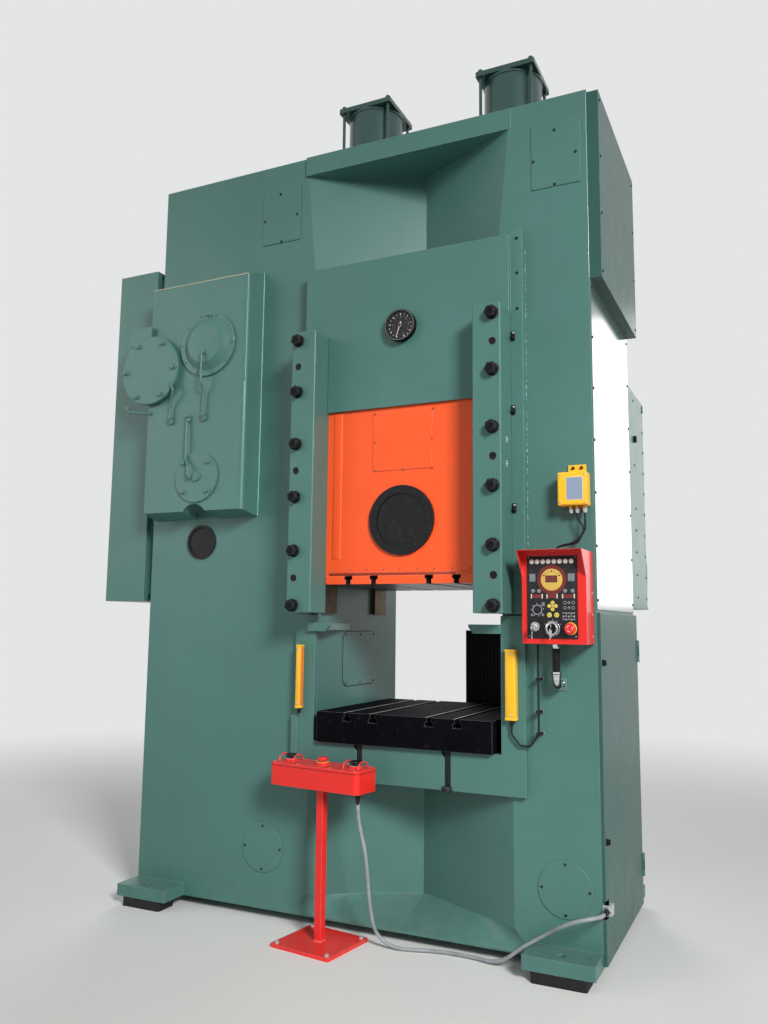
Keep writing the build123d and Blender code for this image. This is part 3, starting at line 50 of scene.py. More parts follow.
# Camera: its place at an eye height of 1.55 m, its turns, and the focal length in pixels of a
# picture of this height
EYE = (2.146, -4.572, 1.55)
EYE_YAW = math.radians(25.3657)
EYE_PITCH = math.radians(7.3318)
EYE_ROLL = math.radians(0.6038)
PICTURE_HEIGHT = 1024
FOCAL_PIXELS = 866.178
SENSOR = 24.0


def place_camera():
    """The camera at the photograph's viewing angle."""
    forward = Vector(
        (
            -math.sin(EYE_YAW) * math.cos(EYE_PITCH),
            math.cos(EYE_YAW) * math.cos(EYE_PITCH),
            math.sin(EYE_PITCH),
        )
    )
    level = Vector((math.cos(EYE_YAW), math.sin(EYE_YAW), 0))
    above = level.cross(forward)
    across = level * math.cos(EYE_ROLL) + above * math.sin(EYE_ROLL)
    upright = above * math.cos(EYE_ROLL) - level * math.sin(EYE_ROLL)
    lens = bpy.data.cameras.new("eye")
    lens.sensor_fit = "VERTICAL"
    lens.sensor_height = SENSOR
    lens.lens = FOCAL_PIXELS / PICTURE_HEIGHT * SENSOR
    lens.clip_end = 200
    camera = bpy.data.objects.new("eye", lens)
    bpy.context.scene.collection.objects.link(camera)
    turn = Matrix((across, upright, -forward)).transposed().to_4x4()
    camera.matrix_world = Matrix.Translation(EYE) @ turn
    bpy.context.scene.camera = camera


place_camera()


def srgb(red, green, blue):
    """A screen colour of 0 to 255 as the linear colour that shaders use."""
    levels = (value / 255 for value in (red, green, blue))
    return tuple(v / 12.92 if v <= 0.04045 else ((v + 0.055) / 1.055) ** 2.4 for v in levels)


def shade(colour, factor):
    """A colour made darker or lighter, never past white."""
    return tuple(min(1.0, value * factor) for value in colour)


def blend_towards(colour, other, share):
    """A colour moved by a share towards another one."""
    return tuple(a + (b - a) * share for a, b in zip(colour, other))


class Value:
    """One socket of a node tree, so that shader maths is written as Python."""

    def __init__(self, nodes, socket):
        self.nodes = nodes
        self.socket = socket

    def maths(self, operation, *values):
        """A Math node on these values, in their order."""
        return self.nodes.node(
            "ShaderNodeMath", {"operation": operation}, dict(enumerate(values))
        )

    def __add__(self, other):
        return self.maths("ADD", self, other)

    def __radd__(self, other):
        return self.maths("ADD", other, self)

    def __sub__(self, other):
        return self.maths("SUBTRACT", self, other)

    def __rsub__(self, other):
        return self.maths("SUBTRACT", other, self)

    def __mul__(self, other):
        return self.maths("MULTIPLY", self, other)

    def __rmul__(self, other):
        return self.maths("MULTIPLY", other, self)

    def clamp(self, low=0.0, high=1.0):
        """The value kept between two limits."""
        return self.maths("MAXIMUM", self.maths("MINIMUM", self, high), low)

    def step(self, start, end):
        """0 below start, 1 above end, and a smooth rise between them."""
        return self.nodes.node(
            "ShaderNodeMapRange",
            {"interpolation_type": "SMOOTHSTEP"},
            {"Value": self, "From Min": start, "From Max": end},
        )


class Nodes:
    """A node tree that is filled by one method."""

    def __init__(self, tree):
        self.tree = tree
        tree.nodes.clear()

    def node(self, kind, settings=None, inputs=None, out=0):
        """A node of that kind: its settings first, then its sockets by name or number."""
        made = self.tree.nodes.new(kind)
        for key, value in (settings or {}).items():
            setattr(made, key, value)
        for key, value in (inputs or {}).items():
            if isinstance(value, Value):
                self.tree.links.new(value.socket, made.inputs[key])
            elif isinstance(value, tuple) and made.inputs[key].type == "RGBA":
                made.inputs[key].default_value = (*value[:3], 1.0)
            else:
                made.inputs[key].default_value = value
        return Value(self, made.outputs[out]) if made.outputs else made

    def mix(self, factor, first, second):
        """Two colours mixed by a factor."""
        return self.node(
            "ShaderNodeMix",
            {"data_type": "RGBA"},
            {0: factor, 6: first, 7: second},
            out=2,
        )

    def place(self, stretch=None):
        """The point on the object in metres, stretched if asked."""
        point = self.node("ShaderNodeTexCoord", out="Object")
        if stretch:
            point = self.node(
                "ShaderNodeVectorMath", {"operation": "MULTIPLY"}, {0: point, 1: stretch}
            )
        return point

    def noise(self, scale, detail=3.0, rough=0.55, stretch=None, warp=0.0):
        """Cloudy noise of 0 to 1 that stays on the object."""
        return self.node(
            "ShaderNodeTexNoise",
            inputs={
                "Vector": self.place(stretch),
                "Scale": scale,
                "Detail": detail,
                "Roughness": rough,
                "Distortion": warp,
            },
        )

    def axis(self, vector, letter):
        """One component of a vector."""
        return self.node("ShaderNodeSeparateXYZ", inputs={0: vector}, out=letter)

    def shown(self):
        """1 where the camera, a reflection or clear glass shows a surface, otherwise 0."""
        kinds = ("Is Camera Ray", "Is Glossy Ray", "Is Transmission Ray")
        camera, glossy, through = (self.node("ShaderNodeLightPath", out=kind) for kind in kinds)
        return (camera + glossy + through).clamp()

    def edges(self, radius, gain):
        """The normal with sharp edges eased, and a mask that is 1 on edges and 0 on flat faces."""
        eased = self.node("ShaderNodeBevel", {"samples": 4}, {"Radius": radius}, out="Normal")
        plain = self.node("ShaderNodeNewGeometry", out="Normal")
        same = self.node(
            "ShaderNodeVectorMath", {"operation": "DOT_PRODUCT"}, {0: eased, 1: plain}, out="Value"
        )
        return eased, ((1.0 - same) * gain).clamp()


class Finish(Nodes):
    """A procedural material on one Principled shader."""

    def __init__(self, name):
        self.material = bpy.data.materials.new(name)
        self.material.use_nodes = True
        super().__init__(self.material.node_tree)

    def surface(self, **sockets):
        """Ends the material: socket names with _ for a space, numbers or links."""
        names = {key.replace("_", " "): value for key, value in sockets.items()}
        shader = self.node("ShaderNodeBsdfPrincipled", inputs=names)
        self.node("ShaderNodeOutputMaterial", inputs={"Surface": shader})
        return self.material

    def bump(self, height, strength, distance, under=None):
        """The normal tilted by a height, over another normal where one is given."""
        inputs = {"Height": height, "Strength": strength, "Distance": distance}
        if under:
            inputs["Normal"] = under
        return self.node("ShaderNodeBump", inputs=inputs)


GREEN = srgb(71, 115, 107)
ORANGE = srgb(250, 90, 36)
RED = srgb(228, 40, 34)
YELLOW = srgb(246, 188, 34)
BACKDROP = srgb(228, 229, 229)

# In metres: the polished band of the side covers with its share of polish, and where the slots
# in the foot of the ram end
SIDE_BAND = (1.62, 3.23, 0.10)
RAM_SLOTS_TOP = 1.791


def enamel(
    name, colour, gloss=0.36, peel=0.2, wear=0.5, dust=0.3,
    wave=2.0, shine=0.4, band=None, shade_below=None,
):
    """Sprayed machine enamel: cloudy tone, fine peel, eased edges painted lighter as a painted
    highlight, dust, runs and scuffs.

    Between the two heights of a band the roughness is less by the band's third number, under
    clear varnish. Faces turned sideways below a given height, and faces turned down, are painted
    near black as painted shade in slots and under the part.
    """
    f = Finish(name)
    cloud = f.noise(0.9, detail=5, rough=0.6, warp=0.3)
    mottle = f.noise(9.0, detail=4)
    tone = f.mix(cloud.step(0.32, 0.68), shade(colour, 0.92), shade(colour, 1.06))
    tone = f.mix(mottle.step(0.35, 0.75) * 0.3, tone, shade(colour, 0.93))
    eased, edge = f.edges(0.004, 4.0)
    # Every eased edge is painted lighter: a painted highlight.
    tone = f.mix(edge * 0.8, tone, blend_towards(colour, (0.72, 0.8, 0.76), 0.3))
    chips = f.noise(75.0, detail=2).step(0.62, 0.66) * edge.step(0.3, 0.7) * wear
    tone = f.mix(chips, tone, shade(colour, 0.3))
    facing = f.node("ShaderNodeNewGeometry", out="Normal")
    facing_up = f.axis(facing, "Z")
    height = f.axis(f.place(), "Z")
    lying = facing_up.step(0.6, 0.95) * f.noise(5.0, detail=5).step(0.25, 0.8) * dust
    tone = f.mix(lying, tone, blend_towards(shade(colour, 0.75), (0.3, 0.29, 0.27), 0.5))
    streak = f.noise(3.0, detail=4, stretch=(7.0, 7.0, 0.22)).step(0.52, 0.8)
    tone = f.mix(streak * 0.12, tone, shade(colour, 0.72))
    scuff = f.noise(26.0, detail=5, rough=0.7, stretch=(1.0, 1.0, 2.2)).step(0.66, 0.76)
    tone = f.mix(scuff * 0.16, tone, blend_towards(colour, (0.6, 0.62, 0.6), 0.4))
    splash = (1.0 - height.step(0.05, 0.40)) * f.noise(14.0, detail=6, rough=0.7).step(0.42, 0.72)
    tone = f.mix(splash * 0.3, tone, blend_towards(shade(colour, 0.5), (0.09, 0.085, 0.08), 0.4))
    rough = gloss + mottle * 0.10 + lying * 0.3 + splash * 0.06 + chips * 0.3 + scuff * 0.12
    coat = 0.08
    # Sideways faces below the given height, and down-facing faces, are painted near black: painted
    # shade in the slots and under the ram.
    if shade_below:
        sideways = f.axis(facing, "X")
        slots = (sideways * sideways).step(0.4, 0.6)
        slots = slots * (1.0 - height.step(shade_below, shade_below + 0.001))
        painted_shade = (slots + (1.0 - facing_up.step(-0.7, -0.4))).clamp()
        tone = f.mix(painted_shade, tone, shade(srgb(40, 38, 38), 0.8))
    if band:
        low, high, polish = band
        inside = height.step(low, low + 0.01) * (1.0 - height.step(high - 0.01, high))
        rough = rough - inside * polish
        coat = 0.04 + inside * 0.9
    relief = f.noise(210.0, detail=2) * 0.10 + f.noise(2.4, detail=1) * wave
    return f.surface(
        Base_Color=tone,
        Roughness=rough.clamp(0.08, 0.95),
        Specular_IOR_Level=shine,
        Coat_Weight=coat,
        Coat_Roughness=0.15,
        Normal=f.bump(relief - chips * 0.4, peel, 0.0010, eased),
    )


def oiled_black(name, colour, shine, bright_edges, gleam=0.2):
    """Ground and oiled tool steel gone dark, bright where edges are rubbed."""
    f = Finish(name)
    cloud = f.noise(3.0, detail=6, rough=0.65)
    grinding = f.noise(1.0, detail=2, stretch=(3.0, 220.0, 220.0))
    spots = f.noise(38.0, detail=3).step(0.6, 0.72)
    tone = f.mix(cloud.step(0.3, 0.7), shade(colour, 0.7), shade(colour, 1.4))
    tone = f.mix(spots * 0.3, tone, blend_towards(colour, srgb(84, 72, 58), 0.4))
    eased, edge = f.edges(0.0025, 5.0)
    rubbed = edge * (0.25 + f.noise(11.0, detail=3) * 1.1).clamp() * bright_edges
    tone = f.mix(rubbed, tone, srgb(214, 218, 220))
    return f.surface(
        Base_Color=tone,
        Metallic=(rubbed * 0.8).clamp(),
        Roughness=(shine + cloud * 0.22 - rubbed * 0.15 + spots * 0.15).clamp(0.08, 0.9),
        Specular_IOR_Level=gleam,
        Normal=f.bump(grinding * 0.5 + cloud, 0.2, 0.0006, eased),
    )


def metal(name, colour, roughness, grain=180.0, stain=0.3, metallic=1.0):
    """Machined or plated metal with fine tool marks and faint stains."""
    f = Finish(name)
    marks = f.noise(grain, detail=2)
    cloud = f.noise(22.0, detail=4)
    tone = f.mix(cloud.step(0.35, 0.75) * stain, colour, shade(colour, 0.6))
    eased, edge = f.edges(0.001, 3.0)
    tone = f.mix(edge * 0.4, tone, shade(colour, 1.35))
    return f.surface(
        Base_Color=tone,
        Metallic=metallic,
        Roughness=(roughness + marks * 0.12 + cloud * 0.08).clamp(0.04, 0.95),
        Normal=f.bump(marks, 0.12, 0.0003, eased),
    )


def plated(name, colour):
    """Bright plating with a painted reflection of a dark room, dark where it is seen at a slant."""
    f = Finish(name)
    slant = f.node("ShaderNodeLayerWeight", inputs={"Blend": 0.5}, out="Facing")
    smear = f.noise(60.0, detail=3)
    # A dark band set by the slant of the view: a painted reflection of a dark room.
    dark = slant.step(0.12, 0.3) * (1.0 - slant.step(0.5, 0.72)) * 0.85
    eased, edge = f.edges(0.001, 3.0)
    return f.surface(
        Base_Color=f.mix((dark + smear * 0.2).clamp(), colour, srgb(46, 48, 50)),
        Metallic=1.0,
        Roughness=(0.08 + smear * 0.12 + edge * 0.1).clamp(),
        Normal=f.bump(smear, 0.05, 0.0003, eased),
    )


def casting(name, colour):
    """Sand-cast iron, dull and pitted, oily in its hollows."""
    f = Finish(name)
    sand = f.noise(190.0, detail=4, rough=0.7)
    cloud = f.noise(7.0, detail=5)
    tone = f.mix(cloud.step(0.3, 0.7), shade(colour, 0.7), shade(colour, 1.35))
    eased, edge = f.edges(0.003, 3.0)
    tone = f.mix(edge * 0.5, tone, srgb(150, 150, 152))
    return f.surface(
        Base_Color=tone,
        Metallic=0.6,
        Roughness=(0.45 + sand * 0.2 + cloud * 0.1).clamp(),
        Normal=f.bump(sand + cloud * 2.0, 0.35, 0.0012, eased),
    )


def moulded(name, colour, roughness=0.4, grain=420.0, relief=0.15, coat=0.0, shine=0.4):
    """Moulded plastic, film or rubber with a fine texture and faint rub marks."""
    f = Finish(name)
    texture = f.noise(grain, detail=2)
    rub = f.noise(26.0, detail=5, rough=0.7).step(0.5, 0.8)
    tone = f.mix(rub * 0.25, colour, blend_towards(colour, (0.4, 0.4, 0.4), 0.2))
    tone = f.mix(texture.step(0.3, 0.7) * 0.15, tone, shade(colour, 0.8))
    return f.surface(
        Base_Color=tone,
        Roughness=(roughness + rub * 0.18 + texture * 0.06).clamp(0.05, 0.98),
        Specular_IOR_Level=shine,
        Coat_Weight=coat,
        Normal=f.bump(texture, relief, 0.0003),
    )


def lamp_lens(name, colour, glow, strength):
    """A lit or unlit lens: a clear coloured cap with a little light of its own."""
    f = Finish(name)
    speckle = f.noise(300.0, detail=1)
    tone = f.mix(speckle * 0.4, colour, shade(colour, 0.8))
    return f.surface(
        Base_Color=tone,
        Roughness=(0.16 + speckle * 0.08).clamp(),
        Coat_Weight=0.5,
        Coat_Roughness=0.05,
        Emission_Color=f.mix(speckle * 0.3, glow, shade(glow, 0.7)),
        Emission_Strength=strength,
    )


def pane(name):
    """Clear glass over a dial."""
    f = Finish(name)
    smear = f.noise(30.0, detail=4).step(0.45, 0.8)
    return f.surface(
        Base_Color=(0.2, 0.21, 0.21),
        Roughness=(0.05 + smear * 0.12).clamp(),
        Alpha=(0.05 + smear * 0.04).clamp(),
        Specular_IOR_Level=0.5,
    )


def sheath(name, colour):
    """Grey ribbed sheath of a flexible conduit."""
    f = Finish(name)
    dirt = f.noise(16.0, detail=5, rough=0.65)
    rib = f.noise(160.0, detail=1)
    tone = f.mix(dirt.step(0.35, 0.75), shade(colour, 1.12), shade(colour, 0.72))
    return f.surface(
        Base_Color=tone,
        Roughness=(0.42 + dirt * 0.2).clamp(),
        Normal=f.bump(rib + dirt, 0.25, 0.0006),
    )


green_enamel = enamel("green enamel", GREEN)
# The side covers take a darker copy of the frame green: painted shade on the faces turned sideways.
shaded_side_enamel = enamel(
    "glossy side enamel, painted darker as shade", shade(GREEN, 0.62), gloss=0.24, peel=0.08, wave=14.0, shine=0.06,
    band=SIDE_BAND,
)
# The gearbox and its covers take a lighter copy of the frame green: painted light.
lit_housing_enamel = enamel("housing enamel, painted lighter as light", shade(GREEN, 1.05), gloss=0.34, peel=0.35, wear=0.35)
# The balance cylinders take a darker copy of the frame green: painted shade.
shaded_cylinder_enamel = enamel("cylinder enamel, painted darker as shade", shade(GREEN, 0.5), gloss=0.18, wear=0.2)
orange_enamel = enamel("orange enamel", ORANGE, gloss=0.34, wear=0.35, dust=0.2)
# The ram's slot walls and underside get near-black painted shade.
ram_enamel = enamel("ram enamel", ORANGE, gloss=0.34, wear=0.35, dust=0.2, shade_below=RAM_SLOTS_TOP)
# Dark orange for the screws, also used for the painted shadow strip under the ram's lip.
dark_orange_and_shadow = enamel("dark orange of screws and a painted shadow strip", shade(ORANGE, 0.3), gloss=0.5, wear=0.2)
red_enamel = enamel("red enamel", RED, gloss=0.28, wear=0.4, dust=0.15)
yellow_enamel = enamel("yellow enamel", YELLOW, gloss=0.33, wear=0.4, dust=0.15)
table_steel = oiled_black(
    "oiled table steel", srgb(11, 11, 15), shine=0.66, bright_edges=0.4, gleam=0.02
)
bolt_black = oiled_black(
    "blackened bolts", srgb(13, 13, 15), shine=0.5, bright_edges=0.2, gleam=0.12
)
rail_black = oiled_black("dark rails", srgb(26, 27, 30), shine=0.45, bright_edges=0.3)
rubbed_edge_highlight = metal(
    "rubbed steel edges and painted highlight", srgb(222, 226, 228), 0.4, grain=30.0, stain=0.6, metallic=0.15
)
ground_steel = metal("ground steel", srgb(186, 188, 190), 0.22, grain=90.0)
brass_metal = metal("brass", srgb(196, 146, 82), 0.25)
bronze_metal = metal("oily bronze", srgb(92, 76, 54), 0.42, stain=0.7)
chrome_metal = plated("chrome plate", srgb(232, 234, 236))
zinc_metal = metal("zinc plated", srgb(184, 188, 186), 0.32, stain=0.45, metallic=0.55)
cast_iron = casting("cast iron", srgb(78, 80, 82))
black_plastic = moulded("black plastic", srgb(17, 16, 19), 0.42, shine=0.25)
black_dial_and_hole_shade = moulded("black of dials and painted hole shade", srgb(14, 13, 15), 0.5, shine=0.2)
panel_film = moulded(
    "black panel film", srgb(30, 28, 32), 0.34, grain=700.0, relief=0.05, shine=0.3
)
grey_plastic = moulded("grey plastic", srgb(150, 153, 155), 0.45)
grey_key = moulded("grey key film", srgb(118, 122, 128), 0.35)
blank_plate = moulded("blank plate", srgb(138, 152, 172), 0.4)
yellow_key = moulded("yellow key film", srgb(222, 200, 92), 0.35)
ochre_disc = moulded("ochre disc film", srgb(206, 170, 82), 0.35)
brown_ring = moulded("brown ring film", srgb(108, 38, 30), 0.3)
cream_mark = moulded("cream marks", srgb(214, 204, 176), 0.4)
white_mark = moulded("white marks", srgb(226, 228, 226), 0.45)
# Dim grey for printed figures, and for painted highlights on the gauge rim and the oil holes.
dim_print_and_highlight = moulded("dim print and painted highlights", srgb(128, 126, 120), 0.5)
black_mark = moulded("black marks", srgb(24, 24, 24), 0.45)
red_plastic = moulded("red plastic", srgb(222, 40, 34), 0.24, coat=0.3)
cream_paint = moulded("cream pointer paint", srgb(224, 214, 190), 0.4)
black_rubber = moulded("black rubber", srgb(22, 22, 23), 0.62, grain=260.0, relief=0.3, shine=0.3)
white_lens = lamp_lens("white lamp lens", srgb(232, 230, 222), srgb(240, 236, 224), 0.12)
red_window = lamp_lens("red display window", srgb(88, 20, 18), srgb(200, 30, 16), 0.10)
orange_window = lamp_lens("orange light window", srgb(226, 112, 44), srgb(240, 120, 50), 0.15)
dark_window = lamp_lens("dark light window", srgb(70, 18, 20), srgb(60, 8, 8), 0.05)
dial_glass = pane("dial glass")
conduit_sheath = sheath("grey conduit sheath", srgb(140, 145, 148))
# Lighter green for beads along edges: a painted highlight.
light_bead_highlight = moulded("bead painted lighter as a highlight", srgb(150, 190, 180), 0.12, grain=45.0, relief=1.0, coat=0.5)
# A pale colour for the line along the gearbox's top edge: a painted highlight.
pale_highlight_line = moulded("pale painted highlight line", srgb(196, 190, 164), 0.55, grain=120.0, relief=0.4)

NODE_FINISH = {
    green_enamel: (
        "frame front_apron left_gib right_gib slide_top_cover access_covers"
        " rear_cover flywheel_guard rear_guard"
    ),
    shaded_cylinder_enamel: "balance_cylinders",
    shaded_side_enamel: "side_covers side_door",
    lit_housing_enamel: (
        "gearbox_housing flywheel_shaft_cover crankshaft_cover oil_pump_cover lubrication_pipes"
    ),
    ram_enamel: "slide",
    orange_enamel: "ram_cover",
    red_enamel: "control_box pendant_stand pendant_console",
    yellow_enamel: "amplifier_box light_curtains",
    table_steel: "bolster",
    bolt_black: "gib_bolts",
    ground_steel: "motor_pulley upper_pin knuckle_pin crank_pin crankshaft pinion_shaft",
    bronze_metal: "guide_liners",
    chrome_metal: "box_conduit balance_rods conduit_gland key_switch",
    cast_iron: "drive_motor upper_link lower_link connecting_rod main_gear flywheel",
    black_plastic: (
        "gauge_case column_plug ram_port_cover left_palm_button right_palm_button upper_latch"
        " lower_latch"
    ),
    grey_plastic: "cabinet_plate",
    panel_film: "control_panel",
    zinc_metal: "mode_selector",
    red_plastic: "emergency_stop pendant_stop_button",
    cream_paint: "gauge_pointer",
    black_rubber: "drive_belt sensor_cables levelling_pads",
    conduit_sheath: "pendant_conduit",
}
for finish, names in NODE_FINISH.items():
    for name in names.split():
        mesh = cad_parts[name].data
        mesh.materials.clear()
        mesh.materials.append(finish)

# The grey conduit from the console to the floor, along it, and up to the gland of the column
CONDUIT_ROUTE = (
    (0.1899, -0.7081, 0.726),
    (0.1899, -0.7081, 0.652),
    (0.204, -0.706, 0.566),
    (0.228, -0.701, 0.476),
    (0.236, -0.690, 0.378),
    (0.234, -0.668, 0.276),
    (0.231, -0.636, 0.172),
    (0.240, -0.612, 0.084),
    (0.280, -0.592, 0.032),
    (0.346, -0.588, 0.011),
    (0.432, -0.566, 0.011),
    (0.530, -0.534, 0.011),
    (0.632, -0.524, 0.011),
    (0.734, -0.530, 0.011),
    (0.822, -0.556, 0.016),
    (0.892, -0.580, 0.050),
    (0.958, -0.586, 0.108),
    (1.036, -0.574, 0.156),
    (1.106, -0.600, 0.206),
    (1.168, -0.645, 0.252),
    (1.235, -0.660, 0.286),
    (1.294, -0.636, 0.297),
    (1.331, -0.584, 0.297),
    (1.331, -0.520, 0.297),
)
CONDUIT_DIAMETER = 0.018


def conduit_run():
    """The conduit as one smooth spline through its route."""
    curve = bpy.data.curves.new("conduit_run", "CURVE")
    curve.dimensions = "3D"
    curve.bevel_depth = CONDUIT_DIAMETER / 2
    curve.bevel_resolution = 5
    curve.resolution_u = 14
    curve.use_fill_caps = True
    spline = curve.splines.new("NURBS")
    spline.points.add(len(CONDUIT_ROUTE) - 1)
    for point, place in zip(spline.points, CONDUIT_ROUTE):
        point.co = (*place, 1.0)
    spline.order_u = 3
    spline.use_endpoint_u = True
    curve.materials.append(conduit_sheath)
    run = bpy.data.objects.new("conduit_run", curve)
    bpy.context.scene.collection.objects.link(run)
    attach(run, "press")
    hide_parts("pendant_conduit")
    return run


def directions(axis):
    """A direction across an axis, one upwards where it can be, and the axis, all of length 1."""
    w = Vector(axis).normalized()
    if abs(w.z) > 0.9:
        u = Vector((1, 0, 0))
    else:
        u = Vector((0, 0, 1)).cross(w)
        u.normalize()
    return u, w.cross(u), w


def stud(radius, height, rim, top):
    """Profile of a round stud: straight up to its rim, then in to the radius of its top."""
    return [(0, 0), (radius, 0), (radius, rim), (top, height), (0, height)]


def collar(inner, outer, height, rim, top):
    """Profile of a ring: straight up outside to its rim, then in to the radius of its top."""
    return [(inner, 0), (outer, 0), (outer, rim), (top, height), (inner, height), (inner, 0)]


class Shape:
    """A mesh drawn in millimetres in the row frame, which becomes one piece."""

    def __init__(self, finish):
        self.mesh = bmesh.new()
        self.finishes = [finish]
        self.current = 0

    def use(self, finish):
        """What is drawn next has this finish."""
        if finish not in self.finishes:
            self.finishes.append(finish)
        self.current = self.finishes.index(finish)
        return self

    def rings(self, rows, closed_ends=True):
        """Skins rows of points, each a closed ring or a single point."""
        made = [[self.mesh.verts.new(p) for p in row] for row in rows]
        faces = []
        for low, high in zip(made, made[1:]):
            count = max(len(low), len(high))
            for i in range(count):
                j = (i + 1) % count
                if len(low) == 1:
                    corners = (low[0], high[j], high[i])
                elif len(high) == 1:
                    corners = (low[i], low[j], high[0])
                else:
                    corners = (low[i], low[j], high[j], high[i])
                faces.append(self.mesh.faces.new(corners))
        if closed_ends:
            for ring in (made[0], made[-1]):
                if len(ring) > 2:
                    faces.append(self.mesh.faces.new(ring))
        for face in faces:
            face.material_index = self.current
            face.smooth = True
        return made

    def lathe(self, centre, axis, profile, steps=20):
        """Turns (radius, height) pairs about an axis through centre, heights along the axis."""
        u, v, w = directions(axis)
        centre = Vector(centre)
        rows = []
        for radius, height in profile:
            middle = centre + w * height
            if radius == 0:
                rows.append([middle])
                continue
            turns = (2 * math.pi * i / steps for i in range(steps))
            rows.append(
                [middle + u * math.cos(a) * radius + v * math.sin(a) * radius for a in turns]
            )
        self.rings(rows, closed_ends=profile[0] != profile[-1])
        return self

    def prism(self, centre, axis, outline, levels):
        """An outline of (across, up) pairs carried along the axis at (scale, height) levels."""
        u, v, w = directions(axis)
        centre = Vector(centre)
        self.rings(
            [
                [centre + w * height + u * (a * scale) + v * (b * scale) for a, b in outline]
                for scale, height in levels
            ]
        )
        return self

    def plate(self, centre, axis, width, height, thick, corner=2.0, ease=0.6):
        """A plate with rounded corners and eased front edges, its back on centre."""
        outline = rounded_outline(width, height, corner)
        inner = 1 - 2 * ease / max(width, height)
        return self.prism(centre, axis, outline, [(1, 0), (1, thick - ease), (inner, thick)])

    def slab(self, x, y, z, ease=1.0, segments=2):
        """A block between pairs of limits with eased edges."""
        part = bmesh.new()
        size = Vector((x[1] - x[0], y[1] - y[0], z[1] - z[0]))
        middle = Vector((x[0] + x[1], y[0] + y[1], z[0] + z[1])) / 2
        stretched = Matrix.Translation(middle) @ Matrix.Diagonal((*size, 1))
        bmesh.ops.create_cube(part, size=1.0, matrix=stretched)
        width = min(ease, min(size) * 0.45)
        bmesh.ops.bevel(
            part, geom=part.edges[:], offset=width, segments=segments, profile=0.5, affect="EDGES"
        )
        return self.take(part)

    def take(self, part):
        """Adds another mesh with the finish in use."""
        for face in part.faces:
            face.material_index = self.current
            face.smooth = True
        held = bpy.data.meshes.new("held")
        part.to_mesh(held)
        part.free()
        self.mesh.from_mesh(held)
        bpy.data.meshes.remove(held)
        return self

    def tube(self, points, radius, steps=10):
        """A round bar along points, with square-cut ends."""
        points = [Vector(p) for p in points]
        rows = []
        side = None
        for i, point in enumerate(points):
            along = points[min(i + 1, len(points) - 1)] - points[max(i - 1, 0)]
            along.normalize()
            if side is None:
                side = directions(along)[0]
            side = (side - along * side.dot(along)).normalized()
            other = along.cross(side)
            turns = (2 * math.pi * k / steps for k in range(steps))
            ring = [side * math.cos(a) * radius + other * math.sin(a) * radius for a in turns]
            rows.append([point + spoke for spoke in ring])
        self.rings(rows)
        return self

    def hexagon(self, centre, axis, across, height, chamfer=1.2, base=0.0, turn=0.0):
        """A hexagon head with a chamfered top."""
        radius = across / math.sqrt(3)
        outline = [
            (radius * math.cos(turn + math.pi / 3 * i), radius * math.sin(turn + math.pi / 3 * i))
            for i in range(6)
        ]
        top = 1 - chamfer * 1.6 / radius
        levels = [(1, base), (1, base + height - chamfer), (top, base + height)]
        return self.prism(centre, axis, outline, levels)

    def bolt(self, centre, axis, across, height, turn=0.0):
        """A hexagon bolt on its washer."""
        rise = across * 0.12
        edge = across * 0.66
        self.lathe(centre, axis, stud(edge, rise, rise * 0.7, edge * 0.96))
        return self.hexagon(centre, axis, across, height, across * 0.08, rise, turn)

    def screw(self, centre, axis, radius, height=None):
        """A button-head screw with a round socket."""
        height = height or radius * 0.55
        shares = [(0, 0), (1, 0), (0.98, 0.45), (0.8, 0.85), (0.55, 1)]
        shares += [(0.5, 1), (0.42, 0.45), (0, 0.4)]
        return self.lathe(centre, axis, [(radius * a, height * b) for a, b in shares], steps=16)

    def front_screws(self, places, face, radius, height=None):
        """Screws towards the front at (x, z) places of a face."""
        for x, z in places:
            self.screw((x, face, z), AHEAD, radius, height)
        return self

    def words(self, text, centre, axis, size, thick=0.4):
        """Generic dial figures, standing on the plane square to the axis."""
        u, v, w = directions(axis)
        curve = bpy.data.curves.new("figures", "FONT")
        curve.body = text
        curve.size = size
        curve.extrude = thick / 2
        curve.align_x = "CENTER"
        curve.align_y = "CENTER"
        maker = bpy.data.objects.new("figures", curve)
        flat = bpy.data.meshes.new_from_object(maker)
        part = bmesh.new()
        part.from_mesh(flat)
        basis = Matrix((u, v, w)).transposed().to_4x4()
        part.transform(Matrix.Translation(Vector(centre) + w * thick / 2) @ basis)
        bpy.data.objects.remove(maker)
        bpy.data.curves.remove(curve)
        bpy.data.meshes.remove(flat)
        return self.take(part)

    def done(self, name, body="press", stands_for=()):
        """Makes the piece: outward faces, creases at sharp edges, metres, riding its body."""
        bmesh.ops.recalc_face_normals(self.mesh, faces=self.mesh.faces[:])
        for edge in self.mesh.edges:
            if len(edge.link_faces) == 2 and edge.calc_face_angle(0) > math.radians(32):
                edge.smooth = False
        self.mesh.transform(Matrix.Diagonal((MM, MM, MM, 1)))
        data = bpy.data.meshes.new(name)
        self.mesh.to_mesh(data)
        self.mesh.free()
        for finish in self.finishes:
            data.materials.append(finish)
        piece = bpy.data.objects.new(name, data)
        bpy.context.scene.collection.objects.link(piece)
        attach(piece, body)
        if stands_for:
            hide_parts(*stands_for)
        return piece


def rounded_outline(width, height, corner, steps=4):
    """A rectangle's outline with round corners."""
    points = []
    for quarter, (sx, sy) in enumerate(((1, 1), (-1, 1), (-1, -1), (1, -1))):
        cx = sx * (width / 2 - corner)
        cy = sy * (height / 2 - corner)
        for i in range(steps + 1):
            a = math.pi / 2 * (quarter + i / steps)
            points.append((cx + corner * math.cos(a), cy + corner * math.sin(a)))
    return points


